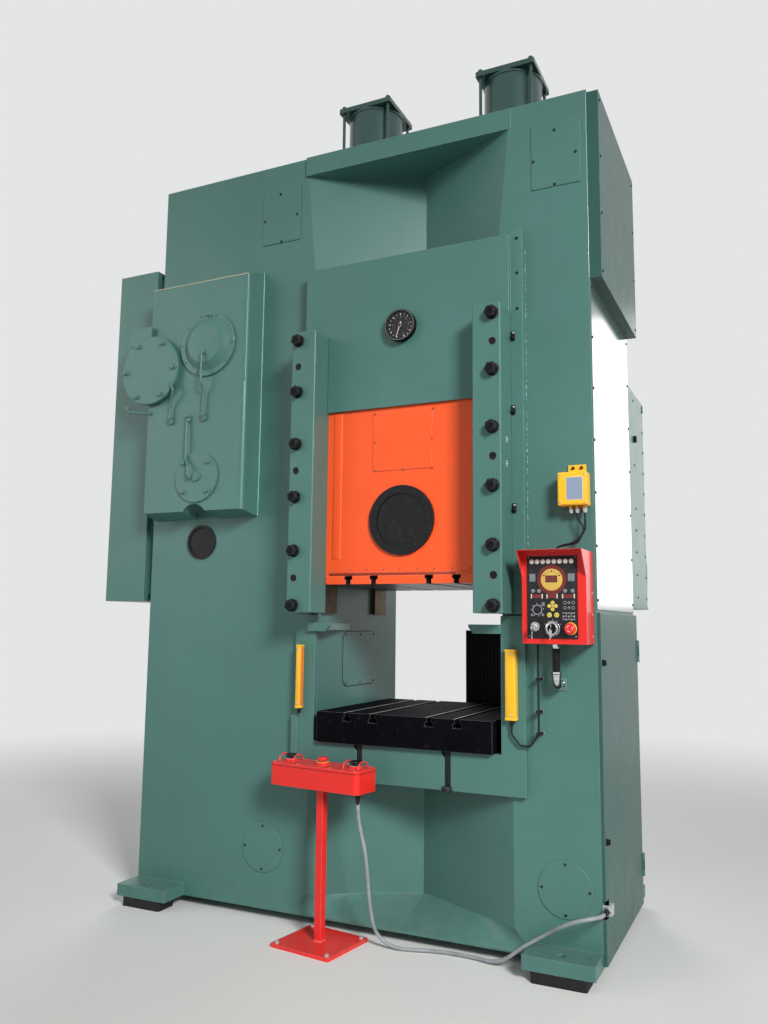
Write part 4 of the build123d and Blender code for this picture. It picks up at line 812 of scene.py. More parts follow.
def on_circle(x, z, radius, degrees):
    """The point of a circle facing the front, at an angle from its right, as (x, z)."""
    turn = math.radians(degrees)
    return x + radius * math.cos(turn), z + radius * math.sin(turn)


def around(x, z, radius, count, first=0.0):
    """Points evenly spaced on a circle that faces the front, as (x, z)."""
    return [on_circle(x, z, radius, first + 360 * i / count) for i in range(count)]


# Sides of a CAD node: the axis, and which end of it
SIDES = {
    "left": (0, min), "right": (0, max),
    "front": (1, min), "back": (1, max),
    "foot": (2, min), "top": (2, max),
}


def side_of(node, side):
    """Where a CAD node ends on one of its sides, at rest, in millimetres."""
    axis, end = SIDES[side]
    return round(end(corner.co[axis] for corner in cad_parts[node].data.vertices) / MM, 2)


def centre_of(node):
    """The middle of a CAD node seen from the front, as (x, z)."""
    across = side_of(node, "left") + side_of(node, "right")
    up = side_of(node, "foot") + side_of(node, "top")
    return round(across / 2, 1), round(up / 2, 1)


def boot(name, place, axis):
    """A grooved rubber boot that narrows along the conduit, from a place in metres."""
    shape = Shape(black_rubber)
    profile = [(0, 0), (14.5, 0), (14.5, 8)]
    for i in range(5):
        height = 11 + 6 * i
        radius = 13.4 - 0.75 * i
        profile += [(radius, height), (radius - 0.9, height + 2), (radius - 0.9, height + 4)]
    profile += [(9.4, 44), (9.05, 46), (0, 46)]
    shape.lathe([value / MM for value in place], axis, profile, steps=24)
    return shape.done(name)


console_boot = boot("console_conduit_boot", CONDUIT_ROUTE[0], DOWNWARD)
gland_boot = boot("gland_conduit_boot", CONDUIT_ROUTE[-1], AHEAD)
conduit = conduit_run()

# The front face of the columns, which many of the pieces below stand on
FRONT = side_of("front_apron", "back")

# Gib bars: hexagon bolts on washers, and oil holes with a raised lip between them; each hole is a
# black disc as painted shade, with a painted highlight on the lower left of its rim
GIB_EDGE = 41
GIB_X = (side_of("left_gib", "left") + GIB_EDGE, side_of("right_gib", "right") - GIB_EDGE)
GIB_FACE = side_of("left_gib", "front")
GIB_BOLTS_Z = [1638 + 281 * k for k in range(6)]
OIL_HOLES_Z = (1778.5, 2340.5, 2902.5)
GIB_WASHER = 5.0
GIB_HEAD = 31
random.seed(7)
gib_set = Shape(bolt_black)
for x in GIB_X:
    for z in GIB_BOLTS_Z:
        place = (x, GIB_FACE, z)
        gib_set.lathe(place, AHEAD, stud(33, GIB_WASHER, 3.6, 31.8), steps=28)
        gib_set.hexagon(place, AHEAD, 55, GIB_HEAD, 3.4, GIB_WASHER, random.uniform(0, 1.0))
        head_top = (x, GIB_FACE - GIB_WASHER - GIB_HEAD + 0.1, z)
        gib_set.lathe(head_top, AHEAD, [(0, 0), (20, 0), (19, 2.2), (0, 2.4)], steps=24)
gib_set.done("gib_bolt_heads", stands_for=["gib_bolts"])

oil_holes = Shape(black_dial_and_hole_shade)
for x in GIB_X:
    for z in OIL_HOLES_Z:
        place = (x, GIB_FACE, z)
        # A black disc on the face: painted shade of the hole.
        hole_shade_disc = [(0, 0), (19.4, 0), (19.4, 1.0), (8, 1.0), (7, 0.2), (0, 0.2)]
        oil_holes.use(black_dial_and_hole_shade).lathe(place, AHEAD, hole_shade_disc, steps=28)
        lip = [(19, 0), (21, 0), (21, 0.8), (20.2, 1.5), (19, 1.2), (19, 0)]
        oil_holes.use(green_enamel).lathe(place, AHEAD, lip, steps=28)
        # A grey arc on the lower left of the rim: a painted highlight.
        lit_rim_arc = [on_circle(x, z, 20, 170 + 12 * k) for k in range(9)]
        oil_holes.use(dim_print_and_highlight).tube([(px, GIB_FACE - 1.2, pz) for px, pz in lit_rim_arc], 1.7)
oil_holes.done("gib_oil_holes")

# Ram: bead down the face, a thin lip along the foot with a dark strip under it as its painted
# shadow, screws of its cover and of the round port
RAM_FACE = side_of("ram_cover", "back")
RAM_COVER_SCREWS = (
    (187, 2641), (516, 2641), (189, 2490), (511, 2487), (191, 2341), (353, 2337), (514, 2335),
)
PORT = centre_of("ram_port_cover")
ram_trim = Shape(orange_enamel)
ram_trim.slab((-56, -8), (RAM_FACE - 3.4, RAM_FACE + 2), (1883, 2668), ease=3.0, segments=3)
ram_trim.slab((-76, 772), (RAM_FACE - 1.6, RAM_FACE + 1), (1808, 1816), ease=0.6)
# A dark strip under the lip: a painted shadow.
ram_trim.use(dark_orange_and_shadow)
ram_trim.slab((-72, 640), (RAM_FACE - 0.7, RAM_FACE + 1), (1795, 1807), ease=0.3)
ram_trim.done("ram_face_lip", "ram")

ram_screws = Shape(dark_orange_and_shadow)
ram_screws.front_screws(RAM_COVER_SCREWS, side_of("ram_cover", "front"), 5.6)
ram_screws.front_screws([(-42 + 94.5 * k, 1824) for k in range(10)], RAM_FACE, 4.6, 2.2)
ram_screws.front_screws([(-92, 1768), (782, 1776)], RAM_FACE - 8, 5.0)
ram_screws.done("ram_cover_screws", "ram")

port_cover = Shape(bolt_black)
port_cover.front_screws(around(*PORT, 150, 12, 3), side_of("ram_port_cover", "front"), 6.0, 3.4)
dish = [(0, 0), (136, 0), (136, 1.2), (132, 2.2), (60, 2.8), (0, 3.0)]
port_cover.use(black_dial_and_hole_shade).lathe((PORT[0], RAM_FACE - 5.0, PORT[1]), AHEAD, dish, steps=56)
port_cover.done("ram_port_dish", "ram")

# Gauge: black dial with white marks and dim figures, its case with a grey ring on the rim as a
# painted highlight, glass and pointer hub
GAUGE_X, GAUGE_Z = centre_of("gauge_case")
CASE_BACK = -570
DIAL_BACK = -596.0
HUB_BACK = -607.3
GLASS_BACK = -609.4
GLEAM_BACK = -615.0
DIAL_THICK = 1.4
DIAL_FACE = DIAL_BACK - DIAL_THICK
DIAL_START = 250
DIAL_SWEEP = 320
DIAL_STEPS = 8
MARK_END = 66
MARK_LIFT = Vector((0, -0.5, 0))
gauge_dial = Shape(black_dial_and_hole_shade)
gauge_dial.lathe((GAUGE_X, DIAL_BACK, GAUGE_Z), AHEAD, stud(73, DIAL_THICK, 1.0, 72), steps=48)
gauge_dial.use(white_mark)
for k in range(2 * DIAL_STEPS + 1):
    start, half_width = (57, 2.6) if k % 2 == 0 else (61, 2.0)
    angle = math.radians(DIAL_START - DIAL_SWEEP * k / (2 * DIAL_STEPS))
    middle = Vector((GAUGE_X, DIAL_FACE, GAUGE_Z))
    along = Vector((math.cos(angle), 0, math.sin(angle)))
    across = Vector((-math.sin(angle), 0, math.cos(angle))) * half_width
    mark = [middle + along * start - across, middle + along * MARK_END - across]
    mark += [middle + along * MARK_END + across, middle + along * start + across]
    gauge_dial.rings([mark, [corner + MARK_LIFT for corner in mark]])
gauge_dial.use(dim_print_and_highlight)
for k in range(DIAL_STEPS + 1):
    x, z = on_circle(GAUGE_X, GAUGE_Z, 46, DIAL_START - DIAL_SWEEP * k / DIAL_STEPS)
    gauge_dial.words(str(k), (x, DIAL_FACE, z), AHEAD, 14)
gauge_dial.done("gauge_dial")

gauge_rim = Shape(bolt_black)
case = [(0, 0), (84, 0), (84, 34), (86, 36), (86, 43)]
case += [(82, 45.5), (76, 44), (74, 41), (74, 25), (0, 25)]
gauge_rim.lathe((GAUGE_X, CASE_BACK, GAUGE_Z), AHEAD, case, steps=56)
# A grey ring on the case's rim: a painted highlight.
gleam = [(79, 0), (81.4, 0), (81.4, 0.8), (79, 1.0), (79, 0)]
gauge_rim.use(dim_print_and_highlight).lathe((GAUGE_X, GLEAM_BACK, GAUGE_Z), AHEAD, gleam, steps=56)
gauge_rim.done("gauge_rim", stands_for=["gauge_case"])
glass = Shape(dial_glass)
pane_profile = [(0, 0), (73.6, 0), (73.6, 1.4), (0, 2.2)]
glass.lathe((GAUGE_X, GLASS_BACK, GAUGE_Z), AHEAD, pane_profile, steps=48)
glass.done("gauge_glass")
hub = Shape(bolt_black)
hub.lathe((GAUGE_X, HUB_BACK, GAUGE_Z), AHEAD, [(0, 0), (8, 0), (7, 1.6), (0, 1.9)])
hub.done("gauge_pointer_hub", "gauge_pointer")

# Screws of the crown covers, the column covers, the black plug and the strip beside the top cover
CROWN_COVER_SCREWS = (
    (-473, 4037), (-358, 3892), (-576, 3887), (-460, 3744),
    (1148, 4038), (1254, 3897), (1038, 3890), (1146, 3747),
)
COLUMN_COVERS = ((-480, 362), (1146, 362))
STRIP_FACE = -550
STRIP_BLOCK_FACE = -559
STRIP_BLOCKS = ((939, 2971), (938, 2596), (938, 2110))
COVER_FACE = side_of("access_covers", "front")
REAR_COVER_FACE = side_of("rear_cover", "back")
cover_screws = Shape(bolt_black)
cover_screws.front_screws(CROWN_COVER_SCREWS, COVER_FACE, 7.5)
for x, z in COLUMN_COVERS:
    cover_screws.front_screws(around(x, z, 110, 4, 90), COVER_FACE, 6.5)
cover_screws.front_screws([(960, z) for z in (3478, 3296, 3111)], STRIP_FACE, 8)
for x, z in STRIP_BLOCKS:
    cover_screws.use(bolt_black)
    cover_screws.slab((x - 10, x + 10), (STRIP_BLOCK_FACE, STRIP_FACE), (z - 23, z + 23), ease=3)
    cover_screws.lathe((x, STRIP_BLOCK_FACE, z - 8), AHEAD, stud(9, 15, 12, 7))
    cover_screws.use(zinc_metal)
    cover_screws.lathe((x + 3, STRIP_BLOCK_FACE, z + 12), AHEAD, stud(5.5, 7.5, 6, 4))
cover_screws.use(bolt_black)
rear_cover_bolts = [(-255 + 200 * k, z) for k in range(7) for z in (2972, 3928)]
rear_cover_bolts += [(x, 3131 + 159.5 * k) for k in range(5) for x in (-255, 945)]
for x, z in rear_cover_bolts:
    cover_screws.bolt((x, REAR_COVER_FACE, z), ABACK, 17, 9)
cover_screws.front_screws(around(*centre_of("column_plug"), 84, 3, 90), FRONT - 4, 6)
cover_screws.use(zinc_metal)
for z in (2430, 2314):
    cover_screws.slab((925.5, 929), (-640, -622), (z - 16, z + 16), ease=0.8)
    cover_screws.screw((929, -631, z), RIGHTWARD, 5, 3)
cover_screws.done("cover_screws")

# Gearbox covers: centres, and the face of the gearbox that they stand on
GEARBOX_FACE = side_of("crankshaft_cover", "back")
FLYWHEEL_COVER = (-1236, 3016)
CRANK_COVER = (-842.68, 3131.76)
PUMP_COVER = centre_of("oil_pump_cover")
crank_dish = Shape(lit_housing_enamel)
profile = [(0, 0), (188, 0), (188, 12), (186, 14), (160, 14), (157, 14.4), (154, 16), (149, 19)]
profile += [(120, 36), (115, 38.6), (111, 39.8), (108, 40), (0, 40)]
crank_dish.lathe((CRANK_COVER[0], GEARBOX_FACE, CRANK_COVER[1]), AHEAD, profile, steps=72)
crank_dish.done("crankshaft_cover_dish", stands_for=["crankshaft_cover"])


def eased_path(points, reach=12, steps=5):
    """The points with their corners rounded off, each over a reach to both sides."""
    points = [Vector(p) for p in points]
    path = [points[0]]
    for before, corner, after in zip(points, points[1:], points[2:]):
        start = corner.lerp(before, min(0.5, reach / (corner - before).length))
        end = corner.lerp(after, min(0.5, reach / (corner - after).length))
        for i in range(steps + 1):
            t = i / steps
            path.append(start.lerp(corner, t).lerp(corner.lerp(end, t), t))
    return path + [points[-1]]


# Lubrication pipes: from a union on a cover to a flanged union on the gearbox
PIPE_ROUTES = (
    (
        (-1060, -686, 2918), (-1060, -703, 2918), (-1045, -700, 2870), (-1073, -680, 2822),
        (-1084, -670, 2780), (-1086, -670, 2697), (-1086, -650, 2697),
    ),
    (
        (-846, -690, 3076), (-846, -708, 3076), (-845, -706, 2892), (-848, -671, 2848),
        (-853, -670, 2697), (-853, -650, 2697),
    ),
    (
        (-922, -674, 2360), (-922, -692, 2360), (-926, -690, 2416), (-957, -674, 2474),
        (-960, -670, 2697), (-960, -650, 2697),
    ),
)
GUARD_PIPE = ((-1236, -650, 2764), (-1300, -654, 2770), (-1400, -654, 2785), (-1424, -654, 2812))
pipes = Shape(lit_housing_enamel)
for route in PIPE_ROUTES:
    x, y, z = route[-1]
    pipes.tube(eased_path(route), 7, steps=14)
    pipes.lathe(route[-1], AHEAD, stud(17, 15, 13, 15), steps=28)
    pipes.hexagon((x, y - 20, z + 14), UPWARD, 22, 15, 1.5)
    pipes.hexagon(route[0], AHEAD, 25, 11, 1.5)
pipes.tube(eased_path(GUARD_PIPE), 9, steps=14)
pipes.hexagon((-1240, -652, 2764), (-0.995, 0, 0.09), 27, 18, 1.5)
pipes.hexagon((-1421, -654, 2804), UPWARD, 27, 14, 1.5)
pipes.done("lubrication_pipe_runs", stands_for=["lubrication_pipes"])

# Painted bolts and screws of the gearbox covers
drive_bolts = Shape(lit_housing_enamel)
for x, z in around(*FLYWHEEL_COVER, 177, 6):
    drive_bolts.bolt((x, side_of("flywheel_shaft_cover", "front"), z), AHEAD, 24, 15, turn=0.3)
drive_bolts.front_screws(around(*CRANK_COVER, 175, 10, -3), GEARBOX_FACE - 14, 6.5, 5)
for x, z in ((-849, 3306), (-823, 3300)):
    nipple = [(0, 0), (8, 0), (8, 5), (5, 6), (5, 12), (0, 13)]
    drive_bolts.lathe((x, GEARBOX_FACE - 14, z), AHEAD, nipple)
for x, z in around(*PUMP_COVER, 117, 4, 45):
    drive_bolts.bolt((x, GEARBOX_FACE - 12, z), AHEAD, 22, 14, turn=0.2)
drive_bolts.lathe((PUMP_COVER[0], GEARBOX_FACE - 12, PUMP_COVER[1]), AHEAD, stud(15, 8, 5, 12))
drive_bolts.done("gearbox_cover_bolts")

# Painted highlights: a pale line along the top edge of the gearbox, and beads beside the gearbox,
# the strip and the side cover, coloured lighter than the paint as painted highlights
highlight_beads = Shape(pale_highlight_line)
random.seed(3)


def bead(start, end, radius, wander=1.2):
    """A thin line that wanders a little along an edge, its lighter colour a painted highlight."""
    start = Vector(start)
    end = Vector(end)
    count = max(6, int((end - start).length / 60))
    points = []
    for i in range(count + 1):
        drift = Vector((random.uniform(-1, 1), 0, random.uniform(-1, 1))) * wander
        points.append(start.lerp(end, i / count) + drift)
    highlight_beads.tube(points, radius, steps=8)


bead((-1258, -649.5, 3518.5), (-584, -649.5, 3518.5), 3.4)
highlight_beads.use(light_bead_highlight)
bead((-571, -503, 3574), (-571, -503, 2146), 3.5)
bead((-581, -649.5, 3514), (-581, -649.5, 2900), 2.2)
for k in range(62):
    x = 989 + random.uniform(-1.5, 1.5)
    z = 1640 + 29 * k + random.uniform(-12, 12)
    bead((x, -501, z), (x, -501, z + random.uniform(3, 18)), random.uniform(1.2, 2.2))
bead((1308, -500.5, 4200), (1308, -500.5, 3232), 2)
highlight_beads.done("edge_highlight_beads")

# Side covers and rear guard: edge screws, a catch, a tab, and a short hose in two clamps behind
SIDE_FACE = side_of("rear_guard", "right")
CROWN_SIDE_FACE = side_of("side_covers", "right")
side_places = [(SIDE_FACE, y, 1668 + 254 * k) for k in range(7) for y in (-478, 478)]
side_places += [(CROWN_SIDE_FACE, y, 3268 + 298 * k) for k in range(4) for y in (-470, 470)]
side_places += [(SIDE_FACE, 985, 1716 + 131 * k) for k in range(10)]
side_places += [(SIDE_FACE, 665, z) for z in (1716, 1847, 1981, 2110, 2238, 2502, 2895)]
side_screws = Shape(bolt_black)
for place in side_places:
    side_screws.screw(place, RIGHTWARD, 7)
side_screws.slab((SIDE_FACE, 1330), (654, 676), (2640, 2678), ease=2)
side_screws.use(green_enamel)
side_screws.slab((SIDE_FACE, 1319), (988, 1018), (2898, 2940), ease=1)
side_screws.use(black_rubber)
guard_hose = [(1300, 1030, 1660), (1302, 1032, 1760), (1304, 1033, 1860), (1304, 1031, 1950)]
side_screws.tube(guard_hose, 11, steps=14)
side_screws.use(zinc_metal)
for z in (1662, 1940):
    side_screws.slab((1290, 1316), (1018, 1044), (z - 8, z + 8), ease=1)
side_screws.done("side_cover_screws")

# Two sets of pressed vents in the outer side of the flywheel guard
GUARD_SIDE = side_of("flywheel_guard", "left")
VENT_HALF_LENGTH = 170
VENT_HALF_HEIGHT = 9
vents = Shape(green_enamel)
for foot in (2020, 3080):
    for k in range(8):
        z = foot + 34 * k
        rows = []
        for scale, out in ((1.0, 0), (0.96, 4), (0.9, 6)):
            y = VENT_HALF_LENGTH * scale
            up = VENT_HALF_HEIGHT * scale
            corners = ((-y, -up), (y, -up), (y, up), (-y, up))
            rows.append([(GUARD_SIDE - out, cy - 90, z + cz) for cy, cz in corners])
        vents.rings(rows)
vents.done("flywheel_guard_vents")

# Balance cylinders: base and top rings, tie-rod nuts and air ports
FLANGE_HALF = 172.5
CYLINDER_X = (
    side_of("balance_cylinders", "left") + FLANGE_HALF,
    side_of("balance_cylinders", "right") - FLANGE_HALF,
)
CYLINDER_Y = side_of("balance_cylinders", "front") + FLANGE_HALF
CYLINDER_RADIUS = 163
TIE_ROD = 148
CROWN_TOP = side_of("frame", "top")
CYLINDER_TOP = side_of("balance_cylinders", "top")
AIR_PORT = Vector((0.69, -0.72, 0))
AIR_PORT_Z = 4290
base_ring = [(165, 0), (186, 0), (186, 12), (183, 15), (171, 15), (165, 22), (165, 0)]
top_ring = collar(165, 172, 15, 12, 170)
cylinder_trim = Shape(shaded_cylinder_enamel)
for cx in CYLINDER_X:
    cylinder_trim.use(shaded_cylinder_enamel)
    cylinder_trim.lathe((cx, CYLINDER_Y, CROWN_TOP), UPWARD, base_ring, steps=64)
    cylinder_trim.lathe((cx, CYLINDER_Y, CYLINDER_TOP - 28), DOWNWARD, top_ring, steps=64)
    for x in (cx - TIE_ROD, cx + TIE_ROD):
        for y in (CYLINDER_Y - TIE_ROD, CYLINDER_Y + TIE_ROD):
            cylinder_trim.bolt((x, y, CYLINDER_TOP), UPWARD, 30, 15, turn=0.2)
            cylinder_trim.lathe((x, y, CYLINDER_TOP + 18), UPWARD, stud(9, 6.5, 5, 7.5))
            cylinder_trim.hexagon((x, y, CROWN_TOP), UPWARD, 30, 14, 1.5)
    cylinder_trim.use(brass_metal)
    port = Vector((cx, CYLINDER_Y, AIR_PORT_Z)) + AIR_PORT * CYLINDER_RADIUS
    cylinder_trim.hexagon(port, AIR_PORT, 26, 18, 1.5)
    cylinder_trim.lathe(port, AIR_PORT, [(0, 0), (8, 0), (8, 28), (0, 29)])
cylinder_trim.done("balance_cylinder_trim")

# Apron: stop blocks at the foot of its slots, one with a bolted foot
apron_trim = Shape(rail_black)
for x in (105, 585):
    apron_trim.slab((x - 15, x + 15), (-528, -512), (756, 938), ease=2)
apron_trim.slab((562, 608), (-546, -530), (744, 772), ease=2.5)
apron_trim.bolt((585, -546, 758), AHEAD, 19, 9)
apron_trim.done("apron_slot_stops")

# Die space: cover with a dark seam and a bent ledge on the left wall
WELL_WALL = side_of("guide_liners", "left")
well_cover = Shape(black_rubber)
well_cover.plate((WELL_WALL, -6, 1350), RIGHTWARD, 416, 312, 1.6, corner=50, ease=0.4)
well_cover.use(green_enamel)
well_cover.plate((WELL_WALL, -6, 1350), RIGHTWARD, 408, 304, 5, corner=46, ease=1.5)
ledge = [(WELL_WALL, -530), (-90, -530), (-163, -150), (WELL_WALL, -134)]
well_cover.rings([[(x, y, z) for x, y in ledge] for z in (1512, 1548)])
well_cover.use(bolt_black)
for y in (-180, -6, 168):
    for z in (1214, 1486):
        well_cover.screw((WELL_WALL + 5, y, z), RIGHTWARD, 6)
well_cover.done("die_space_cover")

# Ribbed screen that stands on the sill of the rear window at the right
SCREEN_X = (330, 857)
SCREEN_Z = (940, 1514)
screen = Shape(rail_black)
screen.slab(SCREEN_X, (462, 466), (SCREEN_Z[0] + 5, SCREEN_Z[1] - 6), ease=1.0)
for k in range(24):
    x = 341 + 22 * k
    screen.slab((x - 4, x + 4), (452, 463), (966, 1502), ease=2.0)
screen.slab((326, 334), (446, 470), SCREEN_Z, ease=1.5)
for z in (SCREEN_Z[0], SCREEN_Z[1] - 14):
    screen.slab(SCREEN_X, (446, 470), (z, z + 14), ease=1.5)
screen.done("rear_window_screen")

# Bright strips on the left edges of the T-slots in the bolster: rubbed steel, and a painted
# highlight on the side that catches the light
TABLE_TOP = side_of("bolster", "top")
TABLE_Y = (side_of("bolster", "front") + 0.5, side_of("bolster", "back") - 0.5)
slot_edges = Shape(rubbed_edge_highlight)
# Only the left edges, which face the light, get a bright strip: partly wear, partly a painted
# highlight.
for x in (45, 192, 498, 645):
    edge_z = (TABLE_TOP - 0.4, TABLE_TOP + 0.4)
    slot_edges.slab((x - 17.2, x - 14), TABLE_Y, edge_z, ease=0.2, segments=1)
slot_edges.done("bolster_slot_edges")

# Control panel: lamps, displays, film keys, marks, rings of the switches
PANEL = -654
FILM = PANEL - 0.8
KEY_SWITCH = (1062, 1543)
SELECTOR = centre_of("mode_selector")
STOP_BUTTON = centre_of("emergency_stop")
panel = Shape(panel_film)
panel.slab((1032, 1252), (FILM, PANEL + 1), (1497, 1862), ease=0.4)


def film_disc(x, z, radius, finish, base=FILM, thick=0.8, steps=24):
    """A round key or mark on the panel."""
    profile = stud(radius, thick, thick * 0.6, radius * 0.95)
    panel.use(finish).lathe((x, base, z), AHEAD, profile, steps)


def film_block(x, z, finish, base=FILM, thick=0.8):
    """A straight-sided key, window or mark between pairs of limits."""
    panel.use(finish).slab(x, (base - thick, base + 0.2), z, ease=0.5, segments=1)


def film_ring(x, z, outer, inner, finish, base=FILM, thick=0.8, steps=32):
    """A flat ring on the panel."""
    profile = [(inner, 0), (outer, 0), (outer, thick), (inner, thick), (inner, 0)]
    panel.use(finish).lathe((x, base, z), AHEAD, profile, steps)


# Row of lamps under the hood
LAMP_ROW_Z = 1840
for x in (1049, 1074, 1101, 1127, 1153, 1179, 1206, 1233):
    film_ring(x, LAMP_ROW_Z, 11.5, 9.0, zinc_metal, thick=2.2)
    lens = [(0, 0), (9.4, 0), (9.2, 2.4), (6.5, 4.4), (0, 5.4)]
    panel.use(white_lens).lathe((x, FILM, LAMP_ROW_Z), AHEAD, lens, 20)

# Round crank-angle display: ring of lights, ochre middle with marks and a window
ANGLE_DISPLAY = (1142, 1757)
RING_BASE = PANEL - 3
RING_FACE = RING_BASE - 0.9
MIDDLE_FACE = RING_FACE - 0.8
film_disc(*ANGLE_DISPLAY, 67.4, brown_ring, RING_BASE, 0.9, 56)
film_disc(*ANGLE_DISPLAY, 50, ochre_disc, RING_FACE, 0.8, 56)
film_block((1113, 1168), (1744, 1776), black_mark, MIDDLE_FACE, 0.8)
film_block((1116, 1165), (1747, 1773), red_window, MIDDLE_FACE - 0.8, 0.6)
for i in range(7):
    angle = math.radians(150 - 20 * i)
    x = ANGLE_DISPLAY[0] + 41 * math.cos(angle)
    z = ANGLE_DISPLAY[1] + 38 * math.sin(angle)
    film_disc(x, z, 2.4 if i % 3 else 4.0, black_mark, MIDDLE_FACE, 0.5, 12)
for x, z in around(*ANGLE_DISPLAY, 59, 24):
    film_disc(x, z, 2.0, dark_window, RING_FACE, 0.6, 10)

# Keys and small displays under it
KEY_ROW_Z = 1706
for x in ((1038, 1065), (1216, 1247)):
    film_block(x, (1749, 1784), grey_key, thick=1.4)
for x in (1054, 1082, 1203, 1237):
    film_ring(x, KEY_ROW_Z, 8.5, 6.6, grey_plastic)
    film_disc(x, KEY_ROW_Z, 6.4, grey_key, thick=1.4)
for left, right in ((1043, 1099), (1116, 1168), (1188, 1247)):
    film_block((left, right), (1671, 1692), cream_mark, thick=0.6)
    film_block((left + 5, right - 5), (1670, 1693), panel_film, thick=0.9)
    film_block((left + 6, right - 6), (1673, 1690), red_window, thick=1.6)

# Dial with its marks at the left, cross of yellow keys in the middle, lines and marks at the right
PANEL_DIAL = (1073, 1620)
film_ring(*PANEL_DIAL, 23, 19.5, grey_plastic, thick=1.0)
for i in range(8):
    x, z = on_circle(*PANEL_DIAL, 29, -120 + 300 * i / 7)
    film_disc(x, z, 1.6, white_mark, thick=0.5, steps=8)
film_block((1094, 1108), (1636, 1654), grey_key, thick=1.2)
for x in (1048, 1098):
    film_disc(x, 1596, 6, grey_key, thick=1.2)
for x, z in ((1144, 1652), (1144, 1622), (1159, 1637), (1129, 1637)):
    film_disc(x, z, 8.6, yellow_key, thick=1.4)
    film_disc(x, z, 2.0, black_mark, FILM - 1.4, 0.4, 10)
film_disc(1144, 1637, 5, yellow_key, thick=1.2)
for x in (1129, 1162):
    film_disc(x, 1596, 11, yellow_key, thick=1.4)
    film_ring(x, 1596, 6, 4.6, black_mark, FILM - 1.4, 0.4)
for z in (1652, 1629):
    for x in (1201, 1238):
        film_ring(x, z, 7.4, 5.4, grey_plastic)
        film_disc(x, z, 5.2, black_mark, thick=1.2)
    film_block((1212, 1227), (z - 1.2, z + 1.2), grey_plastic, thick=0.5)
    film_block((1218, 1221), (z - 7, z + 7), grey_plastic, thick=0.5)
for row in range(3):
    for k in range(5):
        left = 1190 + 12 * k
        top = 1608 - 14 * row
        foot = top - (8 if (row + k) % 2 else 5)
        film_block((left, left + 8), (foot, top), grey_plastic, thick=0.6)

# Corner screws, and the rings of the key switch and the selector
for x in (1035, 1249):
    for z in (1500, 1859):
        panel.use(zinc_metal).screw((x, FILM, z), AHEAD, 2.6, 1.4)
film_ring(*KEY_SWITCH, 21, 15.4, zinc_metal, thick=5.5)
film_ring(*SELECTOR, 34, 30.6, chrome_metal, thick=4.5, steps=40)
for i in range(5):
    film_disc(*on_circle(*SELECTOR, 40, 150 - 30 * i), 1.6, white_mark, thick=0.5, steps=8)
panel.done("control_panel_face")

# Emergency stop: yellow collar on the panel, and three arcs that turn with the button
stop_collar = Shape(yellow_enamel)
place = (STOP_BUTTON[0], PANEL - 8, STOP_BUTTON[1])
stop_collar.lathe(place, AHEAD, collar(13.4, 28.5, 1.8, 1.0, 27.6), steps=40)
stop_collar.done("emergency_stop_collar")

STOP_FACE = side_of("emergency_stop", "front")
stop_arcs = Shape(white_mark)
for i in range(3):
    arc = [on_circle(*STOP_BUTTON, 13, 90 + 120 * i + 15 * k) for k in range(6)]
    stop_arcs.tube([(x, STOP_FACE - 0.1, z) for x, z in arc], 1.1, steps=6)
stop_arcs.done("emergency_stop_arrows", "emergency_stop")

# Key in its switch, with a ring through its bow and a second key hanging down
key = Shape(chrome_metal)
key.slab((1060.4, 1063.6), (-697, -676), (1531, 1549), ease=1.0)
key_ring = [(5, 0), (15, 0), (15.6, 1.6), (15, 4.6), (5, 4.6), (4.6, 2.4), (5, 0)]
key.lathe((1059.6, -708, 1536), RIGHTWARD, key_ring, steps=28)
barrel = [(8, 0), (14.6, 0), (13.4, 15.4), (12, 16.4), (8, 16.4), (8, 0)]
key.lathe((KEY_SWITCH[0], -662.4, KEY_SWITCH[1]), AHEAD, barrel, steps=28)
key.slab((1060.4, 1064.4), (-712, -704), (1488, 1528), ease=0.8)
key.lathe((1060.6, -708, 1494), RIGHTWARD, [(0, 0), (9, 0), (9, 2.4), (0, 2.4)], steps=20)
key.done("key_in_switch", "key_switch")

# Mode selector: chrome knob with a black handle, a white pointer and its keys
selector = Shape(chrome_metal)
knob = [(0, 0), (30.4, 0), (30.4, 7), (28.6, 11), (24, 13), (20, 12), (18.5, 8), (0, 8)]
selector.lathe((SELECTOR[0], -662.3, SELECTOR[1]), AHEAD, knob, steps=40)
selector.use(black_plastic)
well = [(0, 0), (18.3, 0), (18.3, 0.6), (0, 0.6)]
selector.lathe((SELECTOR[0], -670.3, SELECTOR[1]), AHEAD, well, steps=32)
selector.slab((1137.4, 1148.6), (-690, -670), (1518, 1553), ease=2.6)
selector.use(white_mark).slab((1142, 1144), (-691, -689), (1540, 1552), ease=0.3)
selector.use(chrome_metal)
selector.slab((1141.8, 1144.2), (-702, -688), (1524, 1536), ease=0.8)
selector.slab((1140.4, 1145.6), (-704, -700), (1486, 1532), ease=0.8)
selector.slab((1146.4, 1150.6), (-703, -700.4), (1494, 1528), ease=0.8)
selector.done("selector_knob", "mode_selector", stands_for=["mode_selector"])

# Control box: hinge barrels at the left, screws in the right side, rubber seal round the panel
box_trim = Shape(red_enamel)
for z in (1520, 1740):
    box_trim.lathe((999, -640, z), UPWARD, stud(5.5, 48, 46, 4.5), steps=16)
box_trim.use(zinc_metal)
for z in (1500, 1600, 1700):
    box_trim.screw((side_of("control_box", "right"), -530, z), RIGHTWARD, 5)
box_trim.use(black_rubber)
box_trim.slab((1026, 1258), (-654.6, -650), (1489.5, 1492.5), ease=0.6)
for x in ((1025.5, 1028), (1256, 1258.5)):
    box_trim.slab(x, (-654.6, -650), (1492, 1866), ease=0.6)
box_trim.done("control_box_trim")

